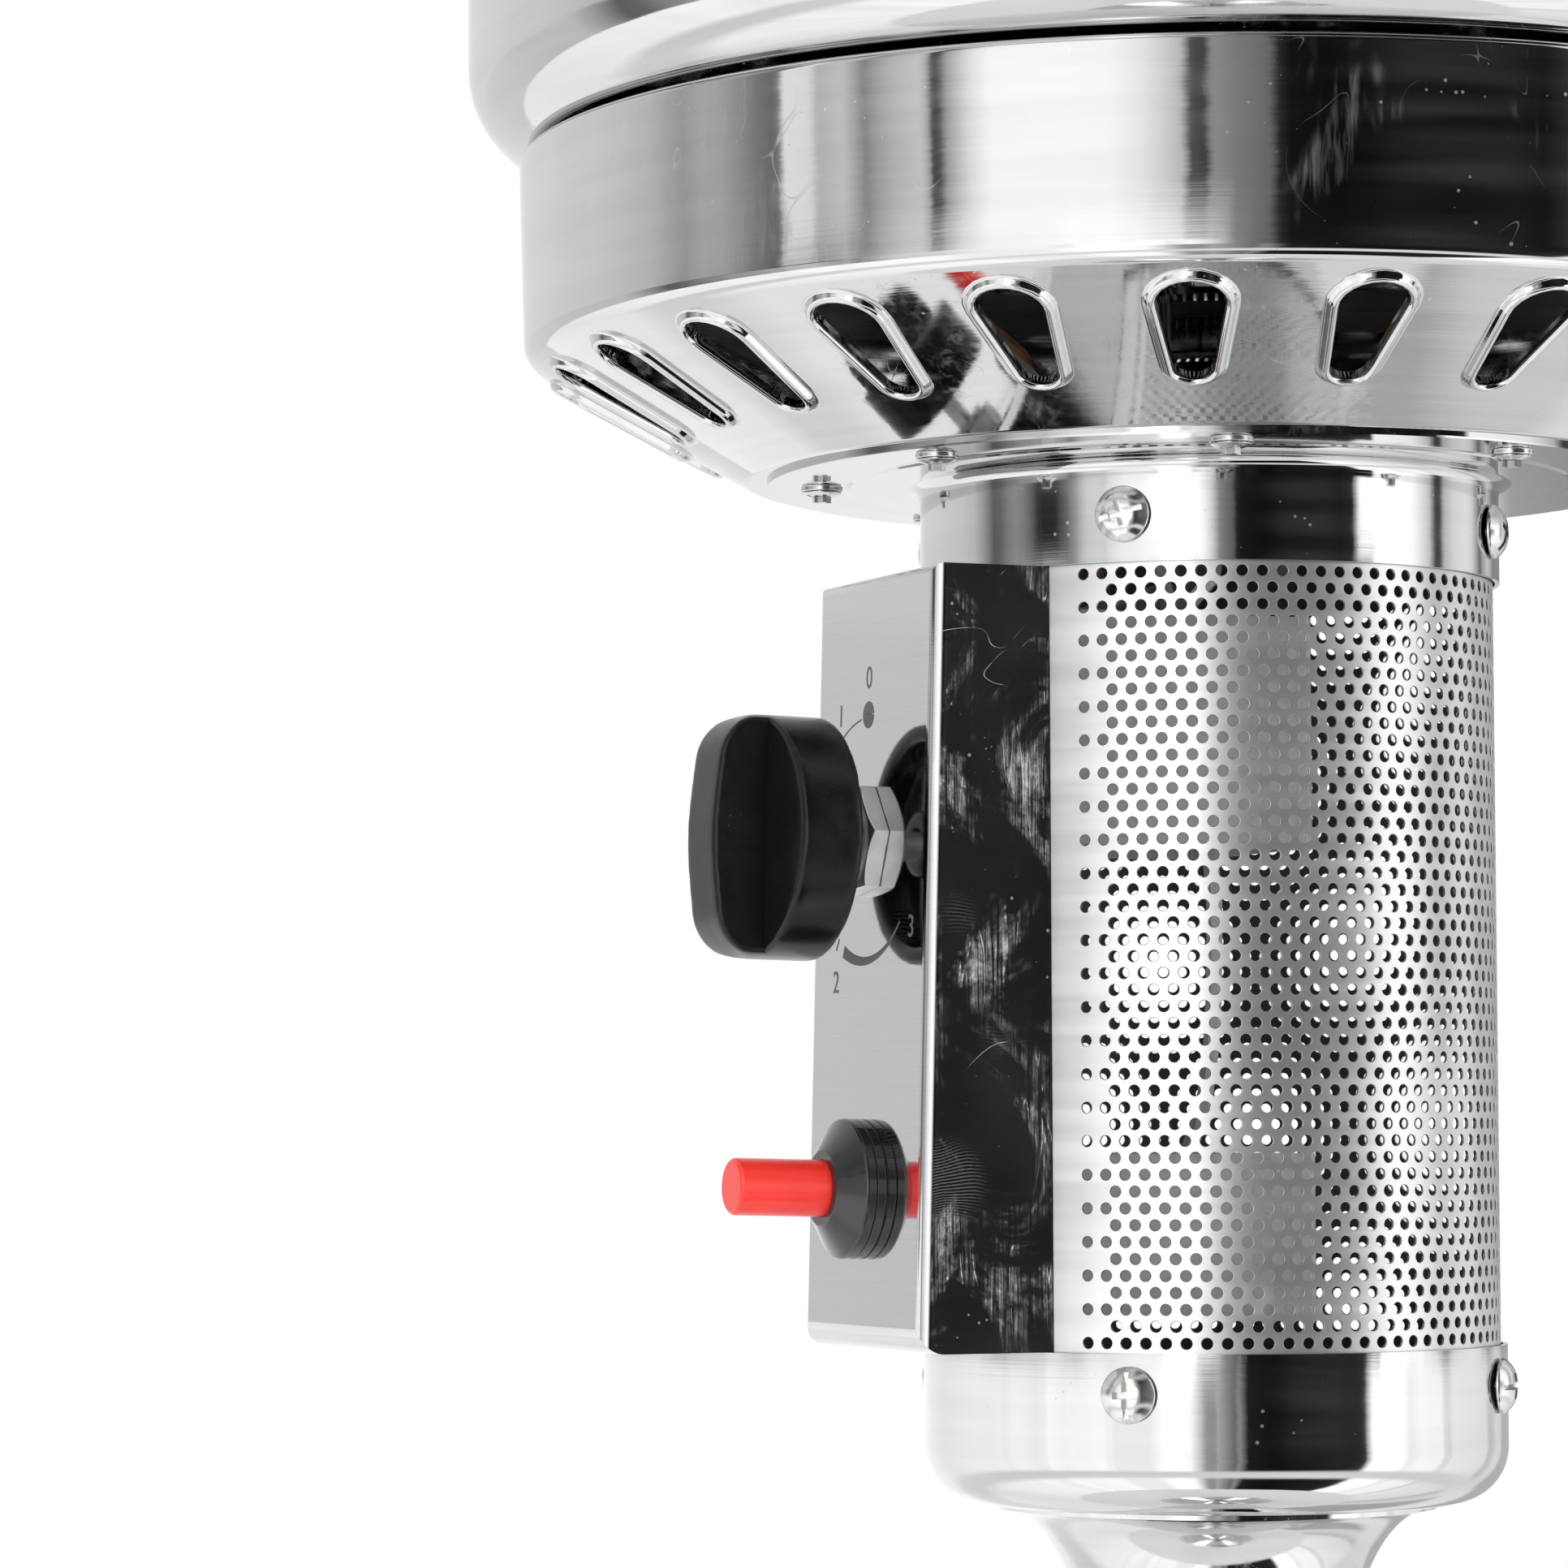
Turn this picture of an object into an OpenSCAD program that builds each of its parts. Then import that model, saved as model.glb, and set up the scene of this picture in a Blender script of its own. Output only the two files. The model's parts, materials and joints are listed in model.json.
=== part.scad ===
// Full height gas patio heater: weighted base with two wheels, lifting cylinder
// housing, post, burner head with its control box, and a round reflector on top.
// The origin is on the ground under the post, +Z is up and the control panel faces -Y.

/* [Head height] */
// Height of the perforated cover's lower edge above the ground
head_z = 1690; // [1500:10:1800]

/* [Base] */
// Outer radius of the base pan
base_r = 230; // [220:1:260]
// Height of the pan's top face
base_h = 52; // [46:1:70]
// Sheet of the pan
base_t = 1.5; // [1:0.1:2.5]
// Radius of the pan's shoulder
base_round = 16; // [8:1:20]
// Height of the rubber edging
trim_h = 10; // [8:1:16]
// Rubber under the pan's edge
trim_floor = 3; // [2:0.5:5]
// Rubber inside and outside the pan's wall
trim_w = 2.5; // [2:0.5:5]
// Distance from the pan's edge to the ballast ring
ballast_inset = 25; // [20:1:35]
// Inner radius of the ballast ring
ballast_bore = 70; // [50:1:100]
// Thickness of the ballast ring
ballast_h = 14; // [8:1:20]
// Gap between the raised cylinder seat and the legs
seat_gap = 17; // [12:1:30]
// Height of the raised cylinder seat
seat_h = 3; // [2:0.5:6]

/* [Wheels] */
// Radius of a wheel
wheel_r = 45; // [38:1:50]
// Width of a wheel
wheel_w = 24; // [18:1:30]
// Ground clearance of the wheels while the heater stands upright
wheel_lift = 2; // [1:0.5:5]
// Radius of the axle
axle_r = 5; // [4:0.5:7]
// Distance from the pan's edge to the axle
axle_reach = 34; // [28:1:44]
// Distance between the bracket's ears, outside
bracket_w = 190; // [150:5:220]
// Sheet of the wheel bracket
bracket_t = 3; // [2:0.5:4]
// Height of the bracket's web
bracket_h = 24; // [18:1:28]
// Length of an end cap on the axle
cap_len = 7; // [5:0.5:10]

/* [Legs] */
// Gap between a leg's foot and the housing
leg_gap = 5.2; // [2:0.2:10]
// Width of a leg
leg_w = 32; // [24:1:40]
// Thickness of a leg
leg_t = 4; // [3:0.5:5]
// Length of a leg's foot
leg_foot = 24; // [22:0.5:25]
// Distance from the housing's upper edge down to the turn of a leg
leg_turn_drop = 42; // [32:1:90]
// Rise of the leg's upper tab above the housing's upper edge
leg_top_rise = 50; // [30:1:58]
// Radius to the inner end of the upper tab
leg_tab_r = 28; // [24:1:34]
// Radius of the bends in a leg
leg_bend = 6; // [5:0.5:7]
// Radius of the leg bolts
bolt_r = 4; // [3:0.5:5]
// Radius to the bolts in the post flange
flange_bolt_r = 46; // [42:1:50]

/* [Post] */
// Outer radius of the post
post_r = 22.5; // [20:0.5:24]
// Wall of the post
post_t = 1.5; // [1:0.1:2.5]
// Radius of the post flange
flange_r = 64; // [60:1:70]
// Thickness of the post flange
flange_t = 6; // [4:0.5:8]
// Wall of the socket on the flange
socket_t = 3; // [2:0.5:4]
// Height of the socket on the flange
socket_h = 46; // [36:1:52]

/* [Cylinder housing] */
// Distance from the pan's edge to the housing
housing_inset = 30; // [20:1:32]
// Sheet of the housing
housing_t = 0.8; // [0.6:0.1:1.5]
// Height of the housing's straight wall
housing_h = 640; // [620:5:650]
// Overlap of the top on the wall
top_lap = 14; // [10:1:20]
// Rise of the sloping top
top_rise = 92; // [85:1:100]
// Radius of the top's neck
neck_r = 34; // [32:0.5:38]
// Height of the neck
neck_h = 16; // [12:1:24]
// Number of vents round the housing
vents = 12; // [6:1:16]
// Width of a vent
vent_w = 8; // [5:1:12]
// Height of a vent
vent_h = 30; // [20:1:40]

/* [Cover and control box] */
// Outer radius of the perforated cover
cover_r = 51; // [48:0.5:54]
// Height of the cover between the cup and the collar
cover_h = 136; // [120:1:150]
// Sheet of the cover
cover_t = 0.6; // [0.5:0.1:1]
// Length of the cover hidden in the cup and in the collar
cover_lap = 12; // [10:1:13]
// Width of the control box
box_w = 51; // [46:0.5:54]
// Distance from the post's axis to the panel's lower edge
panel_y = 69.5; // [66:0.5:74]
// Backward lean of the panel in degrees
panel_lean = 1.5; // [0:0.1:3]
// Sheet of the control box
box_t = 0.8; // [0.6:0.1:1.2]
// Bend radius of the box's upright edges
box_bend = 2; // [1:0.5:3]
// Bend radius of the box's lower edge
box_foot_bend = 4.5; // [2:0.5:6]
// Radius of a perforation
hole_r = 2.7; // [1:0.1:3.2]
// Spacing of the perforations along a row
hole_pitch = 10.5; // [3.5:0.5:16]

/* [Cup and collar] */
// Outer radius of the cup and of the collar's neck
cup_r = 52.2; // [49:0.1:56]
// Depth of the cup
cup_h = 28; // [24:1:34]
// Sheet of the cup and the collar
cup_t = 0.8; // [0.6:0.1:1]
// Radius of the cup's lower corner
cup_round = 10; // [6:1:14]
// Height of the collar's neck
collar_h = 18.4; // [16:0.1:24]
// Outer radius of the collar's flange
collar_flange_r = 80; // [74:1:82]
// Radius of the shallow step in the collar's flange
collar_step_r = 65; // [58:1:68]
// Height of the shallow step in the collar's flange
collar_step = 0.4; // [0.2:0.1:0.8]
// Height of the flared foot between the post and the cup
flare_h = 29.6; // [24:0.2:36]
// Radius of the flared foot's rim
flare_r = 39.5; // [36:0.5:42]
// Turn of the bowl and the screws against the panel, in degrees
head_turn = 1.5; // [0:0.5:5]
// Number of screws under the collar's flange
flange_screw_count = 8; // [4:1:12]

/* [Burner bowl and tray] */
// Radius of the bowl's flat floor
bowl_floor_r = 83.6; // [82:0.2:88]
// Radius of the bowl's lower corner
bowl_r = 123.8; // [118:0.2:128]
// Height of the sloping part
bowl_slope_h = 22.5; // [18:0.5:28]
// Height of the upright band above the slope
bowl_band_h = 35.9; // [28:0.1:44]
// Outward draft of the band
bowl_draft = 0.9; // [0:0.1:2]
// Sheet of the bowl and the tray
bowl_t = 0.9; // [0.8:0.1:1.2]
// Number of slots in the slope
slot_count = 24; // [12:1:24]
// Radius of a slot's outer end
slot_outer_r = 5.7; // [4:0.1:6]
// Radius of a slot's inner end
slot_inner_r = 3.3; // [2:0.1:4]
// Distance up the slope from the floor to the slot's inner centre
slot_start = 17; // [14:0.5:20]
// Distance between the centres of the slot's two ends
slot_len = 17.3; // [10:0.1:19]
// Width of the raised rim round a slot
rim_w = 1.7; // [1:0.1:2.2]
// Height of the raised rim round a slot
rim_h = 1.4; // [0.6:0.1:2]
// Outer radius of the tray
tray_r = 133.9; // [130:0.1:140]
// Height of the tray
tray_h = 44; // [36:1:56]
// Radius of the tray's lower corner
tray_round = 16; // [10:1:20]
// Radius of the tray's rolled rim
tray_bead = 2.2; // [1.5:0.1:3]
// Radius of the opening in the tray's floor
tray_bore = 96; // [94:1:100]

/* [Burner and emitter] */
// Radius of the burner plate
burner_r = 110; // [106:1:112]
// Thickness of the burner plate
burner_t = 1.2; // [1:0.1:2]
// Radius of a burner port
port_r = 2.5; // [1.5:0.1:3]
// Radius of the emitter screen
emitter_r = 103; // [98:1:104]
// Height of the emitter screen
emitter_h = 250; // [220:5:280]
// Sheet of the emitter screen and its cap
emitter_t = 1; // [0.8:0.1:1.5]
// Radius of an emitter perforation
emitter_hole_r = 6; // [3:0.5:7]
// Spacing of the emitter perforations along a row
emitter_pitch = 24; // [16:1:30]
// Depth of the emitter cap's skirt
cap_skirt = 14; // [10:1:20]

/* [Reflector] */
// Diameter of the reflector
reflector_d = 813; // [760:1:860]
// Sheet of the reflector
reflector_t = 1; // [0.8:0.1:1.5]
// Radius of the reflector's flat centre
reflector_flat_r = 96; // [90:1:110]
// Fall of the reflector from its centre to its edge
reflector_fall = 72; // [50:1:90]
// Depth of the turned-down edge
reflector_edge = 16; // [10:1:24]
// Radius of the rolled rim
reflector_bead = 3; // [2:0.5:4]
// Length of the studs between the emitter cap and the reflector
stud_len = 40; // [30:1:60]
// Radius to the studs
stud_circle_r = 78; // [60:1:84]

/* [Gas valve and knob] */
// Sideways place of the valve and the igniter on the panel
control_x = -1.8; // [-4:0.1:4]
// Height of the valve's axis, along the panel
valve_s = 89; // [84:0.5:94]
// Radius of the valve's threaded neck
neck_thread_r = 7; // [6:0.1:8]
// Width across the flats of the panel nut
nut_af = 18; // [16:0.5:19]
// Thickness of the panel nut
nut_h = 3.5; // [3:0.1:5]
// Turn of the panel nut in degrees
nut_turn = 8; // [0:1:30]
// Radius of the spindle
spindle_r = 3; // [2.5:0.1:3.5]
// Radius of the knob
knob_r = 21.4; // [19:0.2:23]
// Gap between the panel and the knob
knob_gap = 9.6; // [9:0.1:11]
// Depth of the knob
knob_depth = 22.4; // [20:0.2:24]
// Height of the knob's skirt
knob_skirt = 9.1; // [8:0.1:10]
// Rise of the knob's face from its rim to the grip
knob_rise = 3.5; // [2:0.1:4]
// Thickness of the knob's grip
grip_w = 13; // [10:0.5:14]
// Radius of the grip's front corners
grip_round = 9; // [6:0.5:10]

/* [Igniter] */
// Height of the igniter's axis, along the panel
igniter_s = 28; // [26:0.5:34]
// Radius of the push button
button_r = 5; // [4:0.1:5.5]
// Length of the button in front of its bezel
button_len = 17; // [14:0.5:18]
// Outer radius of the bezel
bezel_r = 12.3; // [11:0.1:13]
// Height of the bezel's rim
bezel_rim = 3.7; // [3:0.1:5]
// Height of the bezel's cone
bezel_cone = 3.6; // [3:0.1:5]
// Radius of the igniter's sleeve
sleeve_r = 8; // [7:0.1:9]
// Length of the igniter behind the panel
igniter_len = 48; // [40:1:52]

/* [Screws] */
// Head radius of the side screws
screw_head_r = 4.9; // [4:0.1:5]
// Shank radius of the side screws
screw_r = 2.4; // [2:0.1:2.5]
// Height of the upper screws above the cover
upper_screw_z = 8.2; // [6:0.1:9]
// Depth of the lower screws below the cover
lower_screw_z = 7; // [6:0.1:9]
// Radius to the screws under the collar's flange
flange_screw_circle = 70; // [68:0.5:76]

/* [Hidden] */

// Clearance between pieces that are fixed together
fit = 0.2;
// Radial clearance of a piece that turns or slides in another
run = 0.08;
// Overrun of a cut
over = 1;
// Steps in a rounded corner
arc_steps = 5;
$fn = 64;

// Sheet metal is drawn as a path of its outer face, [radius, height] or [radius, height, corner radius]
function unit(v) = v / norm(v);
function left_of(v) = [-v[1], v[0]];
function spin(v, a) = [v[0] * cos(a) - v[1] * sin(a), v[0] * sin(a) + v[1] * cos(a)];
function flat2(p) = [p[0], p[1]];
function corner(a, b, c) =
    let (p = flat2(b), u = unit(flat2(a) - p), v = unit(flat2(c) - p))
    let (half = acos(u * v) / 2, o = p + unit(u + v) * b[2] / sin(half))
    let (s = p + u * b[2] / tan(half) - o, way = u[0] * v[1] - u[1] * v[0] > 0 ? -1 : 1)
    [for (k = [0 : arc_steps]) o + spin(s, way * (180 - 2 * half) * k / arc_steps)];
function bent(path) = [for (i = [0 : len(path) - 1])
    each (len(path[i]) > 2 ? corner(path[i - 1], path[i], path[i + 1]) : [flat2(path[i])])];
function miter(a, b, c) =
    let (m = left_of(unit(b - a)), n = left_of(unit(c - b))) (m + n) / (1 + m * n);
function side(pts, d) = [for (i = [0 : len(pts) - 1])
    pts[i] + d * (i == 0 ? left_of(unit(pts[1] - pts[0]))
        : i == len(pts) - 1 ? left_of(unit(pts[i] - pts[i - 1]))
        : miter(pts[i - 1], pts[i], pts[i + 1]))];
function reversed(pts) = [for (i = [len(pts) - 1 : -1 : 0]) pts[i]];
// Outline of a sheet whose thickness lies to the left of its path
function ribbon(path, t) = let (p = bent(path)) concat(p, reversed(side(p, t)));

module spun(path, t) rotate_extrude($fn = 96) polygon(ribbon(path, t));
module ring(r, bore, h) difference() {
    cylinder(r = r, h = h);
    translate([0, 0, -over]) cylinder(r = bore, h = h + 2 * over);
}
module round_about(count, first = 0) for (i = [0 : count - 1]) rotate([0, 0, first + i * 360 / count])
    children();
module on_head() translate([0, 0, head_z]) children();
// A frame whose origin is on the panel's lower edge: x across, z up the panel, y into the box
module on_panel() on_head() translate([0, -panel_y, 0]) rotate([-panel_lean, 0, 0]) children();
// A frame on the panel whose z points out of it
module control(s) on_panel() translate([control_x, 0, s]) rotate([90, 0, 0]) children();

// A tube through points, each ring square to the route
function route_dir(p, i) = unit(p[min(i + 1, len(p) - 1)] - p[max(i - 1, 0)]);
function pipe_ring(p, i, r, n) =
    let (t = route_dir(p, i), u = unit(cross(t, [1, 0, 0])), v = cross(t, u))
    [for (k = [0 : n - 1]) p[i] + r * (cos(360 * k / n) * u + sin(360 * k / n) * v)];
module pipe(route, r, n = 8) {
    m = len(route);
    polyhedron([for (i = [0 : m - 1]) each pipe_ring(route, i, r, n)], concat(
        [[for (k = [n - 1 : -1 : 0]) k]],
        [for (i = [0 : m - 2]) for (k = [0 : n - 1]) each
            [[i * n + k, i * n + (k + 1) % n, (i + 1) * n + (k + 1) % n],
             [i * n + k, (i + 1) * n + (k + 1) % n, (i + 1) * n + k]]],
        [[for (k = [0 : n - 1]) (m - 1) * n + k]]));
}

// Screws and bolts stand on z = 0 with the shank below
pan_head_share = 0.62;
slot_share = 0.22;
module pan_screw(head_r, shank_r, length) {
    head_h = head_r * pan_head_share;
    difference() {
        rotate_extrude() polygon(bent([[0, 0], [head_r, 0], [head_r, head_h, head_h * pan_head_share],
            [0, head_h]]));
        translate([-head_r, -head_r * slot_share / 2, head_h * (1 - pan_head_share)])
            cube([2 * head_r, head_r * slot_share, head_h]);
    }
    translate([0, 0, -length]) cylinder(r = shank_r, h = length);
}
hex_af_share = 1.62;
hex_h_share = 0.68;
module hexagon(af, h) cylinder(r = af / 2 / cos(30), h = h, $fn = 6);
module hex_bolt(r, grip) {
    hexagon(2 * r * hex_af_share, 2 * r * hex_h_share);
    translate([0, 0, -grip - 2 * r]) cylinder(r = r, h = grip + 2 * r);
    translate([0, 0, -grip]) mirror([0, 0, 1]) difference() {
        hexagon(2 * r * hex_af_share, 2 * r * hex_h_share);
        translate([0, 0, -over]) cylinder(r = r, h = 2 * r + over);
    }
}

// Base
housing_r = base_r - housing_inset;
leg_r = housing_r - housing_t - leg_gap - leg_foot;
ballast_r = base_r - ballast_inset;
seat_r = leg_r - seat_gap;
seat_bend = 3;
leg_bolt_at = leg_r + leg_t + (leg_foot - leg_t) / 2;
ballast_z = base_h - base_t - ballast_h;
leg_angles = [90, 210, 330];
leg_bolt_hole_r = bolt_r + fit;
module leg_bolt_holes(z, h) for (a = leg_angles) rotate([0, 0, a]) translate([leg_bolt_at, 0, z])
    cylinder(r = leg_bolt_hole_r, h = h);
bracket_bolt_x = 40;
bracket_bolt_r = 3;
bracket_lift = 4;
bracket_z = trim_h + bracket_lift;
bracket_y = sqrt(pow(base_r, 2) - pow(bracket_bolt_x, 2));
axle_z = wheel_r + wheel_lift;
axle_y = base_r + axle_reach;

module bracket_bolt_holes(r) for (x = [-bracket_bolt_x, bracket_bolt_x])
    translate([x, axle_y, bracket_z + bracket_h / 2]) rotate([90, 0, 0]) cylinder(r = r, h = 2 * axle_reach);
module base_pan() color("silver") difference() {
    spun([[base_r, trim_floor], [base_r, base_h, base_round], [seat_r, base_h, seat_bend],
        [seat_r - seat_h, base_h + seat_h, seat_bend], [0, base_h + seat_h]], base_t);
    leg_bolt_holes(base_h - base_t - over, base_t + 2 * over);
    bracket_bolt_holes(bracket_bolt_r + fit);
}
module base_edging() color([0.08, 0.08, 0.08]) rotate_extrude($fn = 96) polygon([
    [base_r - base_t - fit - trim_w, 0], [base_r + fit + trim_w, 0], [base_r + fit + trim_w, trim_h],
    [base_r + fit, trim_h], [base_r + fit, trim_floor], [base_r - base_t - fit, trim_floor],
    [base_r - base_t - fit, trim_h], [base_r - base_t - fit - trim_w, trim_h]]);
module ballast_ring() color("dimgray") difference() {
    translate([0, 0, ballast_z]) ring(ballast_r, ballast_bore, ballast_h);
    leg_bolt_holes(ballast_z - over, ballast_h + 2 * over);
}

// Wheels
ear_wall = 9;
ear_r = axle_r + ear_wall;
module wheel_bracket() color("silver") difference() {
    union() {
        translate([-bracket_w / 2, base_r, bracket_z]) cube([bracket_w, bracket_t, bracket_h]);
        for (x = [-bracket_w / 2, bracket_w / 2 - bracket_t]) {
            translate([x, base_r, bracket_z]) cube([bracket_t, axle_reach, bracket_h]);
            translate([x, axle_y, axle_z]) rotate([0, 90, 0]) cylinder(r = ear_r, h = bracket_t);
            translate([x, axle_y - ear_r, bracket_z]) cube([bracket_t, 2 * ear_r, axle_z - bracket_z]);
        }
        for (x = [-bracket_bolt_x, bracket_bolt_x]) translate([x, base_r + over / 2,
            bracket_z + bracket_h / 2])
            rotate([90, 0, 0]) cylinder(r = 2 * bracket_bolt_r, h = base_r - bracket_y + over / 2);
    }
    translate([0, 0, bracket_z - over]) cylinder(r = base_r, h = bracket_h + 2 * over, $fn = 96);
    bracket_bolt_holes(bracket_bolt_r + fit);
    translate([-bracket_w / 2 - over, axle_y, axle_z]) rotate([0, 90, 0])
        cylinder(r = axle_r + fit, h = bracket_w + 2 * over);
}
module bracket_bolts() color("gray") for (x = [-bracket_bolt_x, bracket_bolt_x])
    translate([x, base_r + bracket_t, bracket_z + bracket_h / 2]) rotate([-90, 0, 0])
        pan_screw(2 * bracket_bolt_r, bracket_bolt_r, bracket_t + base_r - bracket_y + 3 * base_t);
wheel_gap = 1;
axle_len = bracket_w + 2 * (2 * wheel_gap + wheel_w + cap_len);
cap_floor = 2;
module wheel_axle() color("lightgray") translate([-axle_len / 2 + cap_floor, axle_y, axle_z])
    rotate([0, 90, 0])
    cylinder(r = axle_r, h = axle_len - 2 * cap_floor);
module axle_caps() color([0.1, 0.1, 0.1]) for (turn = [0, 180]) translate([0, axle_y, axle_z])
    rotate([0, 0, turn])
    translate([axle_len / 2 - cap_len, 0, 0]) rotate([0, 90, 0]) difference() {
        rotate_extrude() polygon(bent([[0, 0], [2 * axle_r, 0], [2 * axle_r, cap_len, cap_floor],
            [0, cap_len]]));
        translate([0, 0, -over]) cylinder(r = axle_r + fit / 2, h = cap_len - cap_floor + over);
    }
tyre_round = 7;
hub_r = 2.6 * axle_r;
rim_share = 0.72;
web_share = 0.4;
module wheel(turn) color([0.12, 0.12, 0.12]) translate([0, axle_y, axle_z]) rotate([0, 0, turn])
    translate([bracket_w / 2 + wheel_gap, 0, 0]) rotate([0, 90, 0]) difference() {
        rotate_extrude() polygon(bent([[axle_r + run, 0], [wheel_r, 0, tyre_round],
            [wheel_r, wheel_w, tyre_round],
            [axle_r + run, wheel_w]]));
        for (z = [-over, wheel_w * (1 + web_share) / 2]) translate([0, 0, z])
            ring(wheel_r * rim_share, hub_r, wheel_w * (1 - web_share) / 2 + over);
    }
module wheel_left() wheel(180);
module wheel_right() wheel(0);

// Legs and post
housing_top_z = base_h + housing_h;
leg_turn_z = housing_top_z - leg_turn_drop;
leg_top_z = housing_top_z + leg_top_rise;
leg_path = [[leg_r + leg_foot, base_h], [leg_r, base_h, leg_bend], [leg_r, leg_turn_z, leg_bend],
    [flange_r, leg_top_z, leg_bend], [leg_tab_r, leg_top_z]];
module post_leg(a) color("silver") rotate([0, 0, a]) difference() {
    rotate([90, 0, 0]) translate([0, 0, -leg_w / 2]) linear_extrude(leg_w) polygon(ribbon(leg_path, -leg_t));
    translate([leg_bolt_at, 0, base_h - over]) cylinder(r = leg_bolt_hole_r, h = leg_t + 2 * over);
    translate([flange_bolt_r, 0, leg_top_z - over]) cylinder(r = leg_bolt_hole_r, h = leg_t + 2 * over);
}
module post_leg_rear() post_leg(leg_angles[0]);
module post_leg_left() post_leg(leg_angles[1]);
module post_leg_right() post_leg(leg_angles[2]);
flange_z = leg_top_z + leg_t;
post_z = flange_z + flange_t;
socket_bore = post_r + fit;
post_screw_up = 30;
post_screw_z = post_z + post_screw_up;
post_screw_r = 3;
post_screw_head_r = 5;
module leg_bolts() color("gray") for (a = leg_angles) rotate([0, 0, a]) {
    translate([leg_bolt_at, 0, base_h + leg_t]) hex_bolt(bolt_r, leg_t + base_t + ballast_h);
    translate([flange_bolt_r, 0, post_z]) hex_bolt(bolt_r, leg_t + flange_t);
}
module post_screw_holes(r) translate([0, 0, post_screw_z]) round_about(3, 30) rotate([0, 90, 0])
    cylinder(r = r, h = flange_r);
module post_flange() color("silver") difference() {
    union() {
        translate([0, 0, flange_z]) ring(flange_r, post_r - 3 * post_t, flange_t);
        translate([0, 0, post_z - over]) ring(socket_bore + socket_t, socket_bore, socket_h + over);
    }
    translate([0, 0, post_z]) cylinder(r = socket_bore, h = socket_h + over);
    for (a = leg_angles) rotate([0, 0, a]) translate([flange_bolt_r, 0, flange_z - over])
        cylinder(r = leg_bolt_hole_r, h = flange_t + 2 * over);
    post_screw_holes(post_screw_r + fit);
}
module post_screws() color("gray") translate([0, 0, post_screw_z]) round_about(3, 30)
    translate([socket_bore + socket_t, 0, 0]) rotate([0, 90, 0])
        pan_screw(post_screw_head_r, post_screw_r, socket_t + 3 * post_t);
flare_top_z = head_z - cup_h;
flare_plate = 1;
post_bore = post_r - post_t;
post_top_z = flare_top_z - flare_plate;
post_seam_z = (post_z + post_top_z) / 2;
spigot_r = post_bore - fit;
spigot_h = 2.2 * post_r;
module post_tube() color("silver") difference() {
    rotate_extrude() polygon([[post_bore, post_z], [post_r, post_z], [post_r, post_seam_z],
        [spigot_r, post_seam_z],
        [spigot_r, post_seam_z + spigot_h], [spigot_r - post_t, post_seam_z + spigot_h],
        [spigot_r - post_t, post_seam_z - post_t], [post_bore, post_seam_z - 2 * post_t]]);
    post_screw_holes(post_screw_r + fit);
}
module post_upper_tube() color("silver")
    translate([0, 0, post_seam_z]) ring(post_r, post_bore, post_top_z - post_seam_z);

// Cylinder housing, which lifts along the post
top_t = 1;
lid_r = housing_r + fit + top_t;
lid_edge = 10;
lid_round = 12;
neck_round = 10;
lip_round = 2;
lid_turn_z = housing_top_z + lid_edge;
neck_z = lid_turn_z + top_rise;
lid_z = neck_z + neck_h;
lip_w = 6.5;
lip_r = post_r + lip_w;
grommet_gap = 0.35;
grommet_low = 8;
grommet_lip = 3;
grommet_top = 7;
housing_screw_z = housing_top_z - top_lap / 2;
module housing_screw_holes(r) translate([0, 0, housing_screw_z]) round_about(4, 45)
    translate([housing_r / 2, 0, 0]) rotate([0, 90, 0]) cylinder(r = r, h = housing_r);
module cylinder_housing() color("lightgray") difference() {
    translate([0, 0, base_h]) ring(housing_r, housing_r - housing_t, housing_h, $fn = 96);
    round_about(vents, 15) translate([housing_r / 2, -vent_w / 2, base_h + vent_h])
        cube([housing_r, vent_w, vent_h]);
    housing_screw_holes(bracket_bolt_r + fit);
}
module housing_top() color("silver") difference() {
    spun([[lid_r, housing_top_z - top_lap], [lid_r, lid_turn_z, lid_round], [neck_r, neck_z, neck_round],
        [neck_r, lid_z, lip_round], [lip_r, lid_z]], top_t);
    housing_screw_holes(bracket_bolt_r + fit);
}
grommet_bore = post_r + grommet_gap;
grommet_r = neck_r - lip_round;
module housing_grommet() color([0.1, 0.1, 0.1]) rotate_extrude() polygon([
    [grommet_bore, lid_z - top_t - grommet_low], [grommet_r - top_t, lid_z - top_t - grommet_low],
    [grommet_r - top_t, lid_z - top_t - fit / 2], [lip_r - fit, lid_z - top_t - fit / 2],
        [lip_r - fit, lid_z + fit / 2],
    [grommet_r, lid_z + fit / 2], [grommet_r, lid_z + grommet_lip],
    [grommet_r - grommet_lip, lid_z + grommet_top], [grommet_bore, lid_z + grommet_top]]);
module housing_screws() color("gray") translate([0, 0, housing_screw_z]) round_about(4, 45)
    translate([lid_r, 0, 0]) rotate([0, 90, 0]) pan_screw(2 * bracket_bolt_r, bracket_bolt_r, 4 * top_t);

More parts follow.
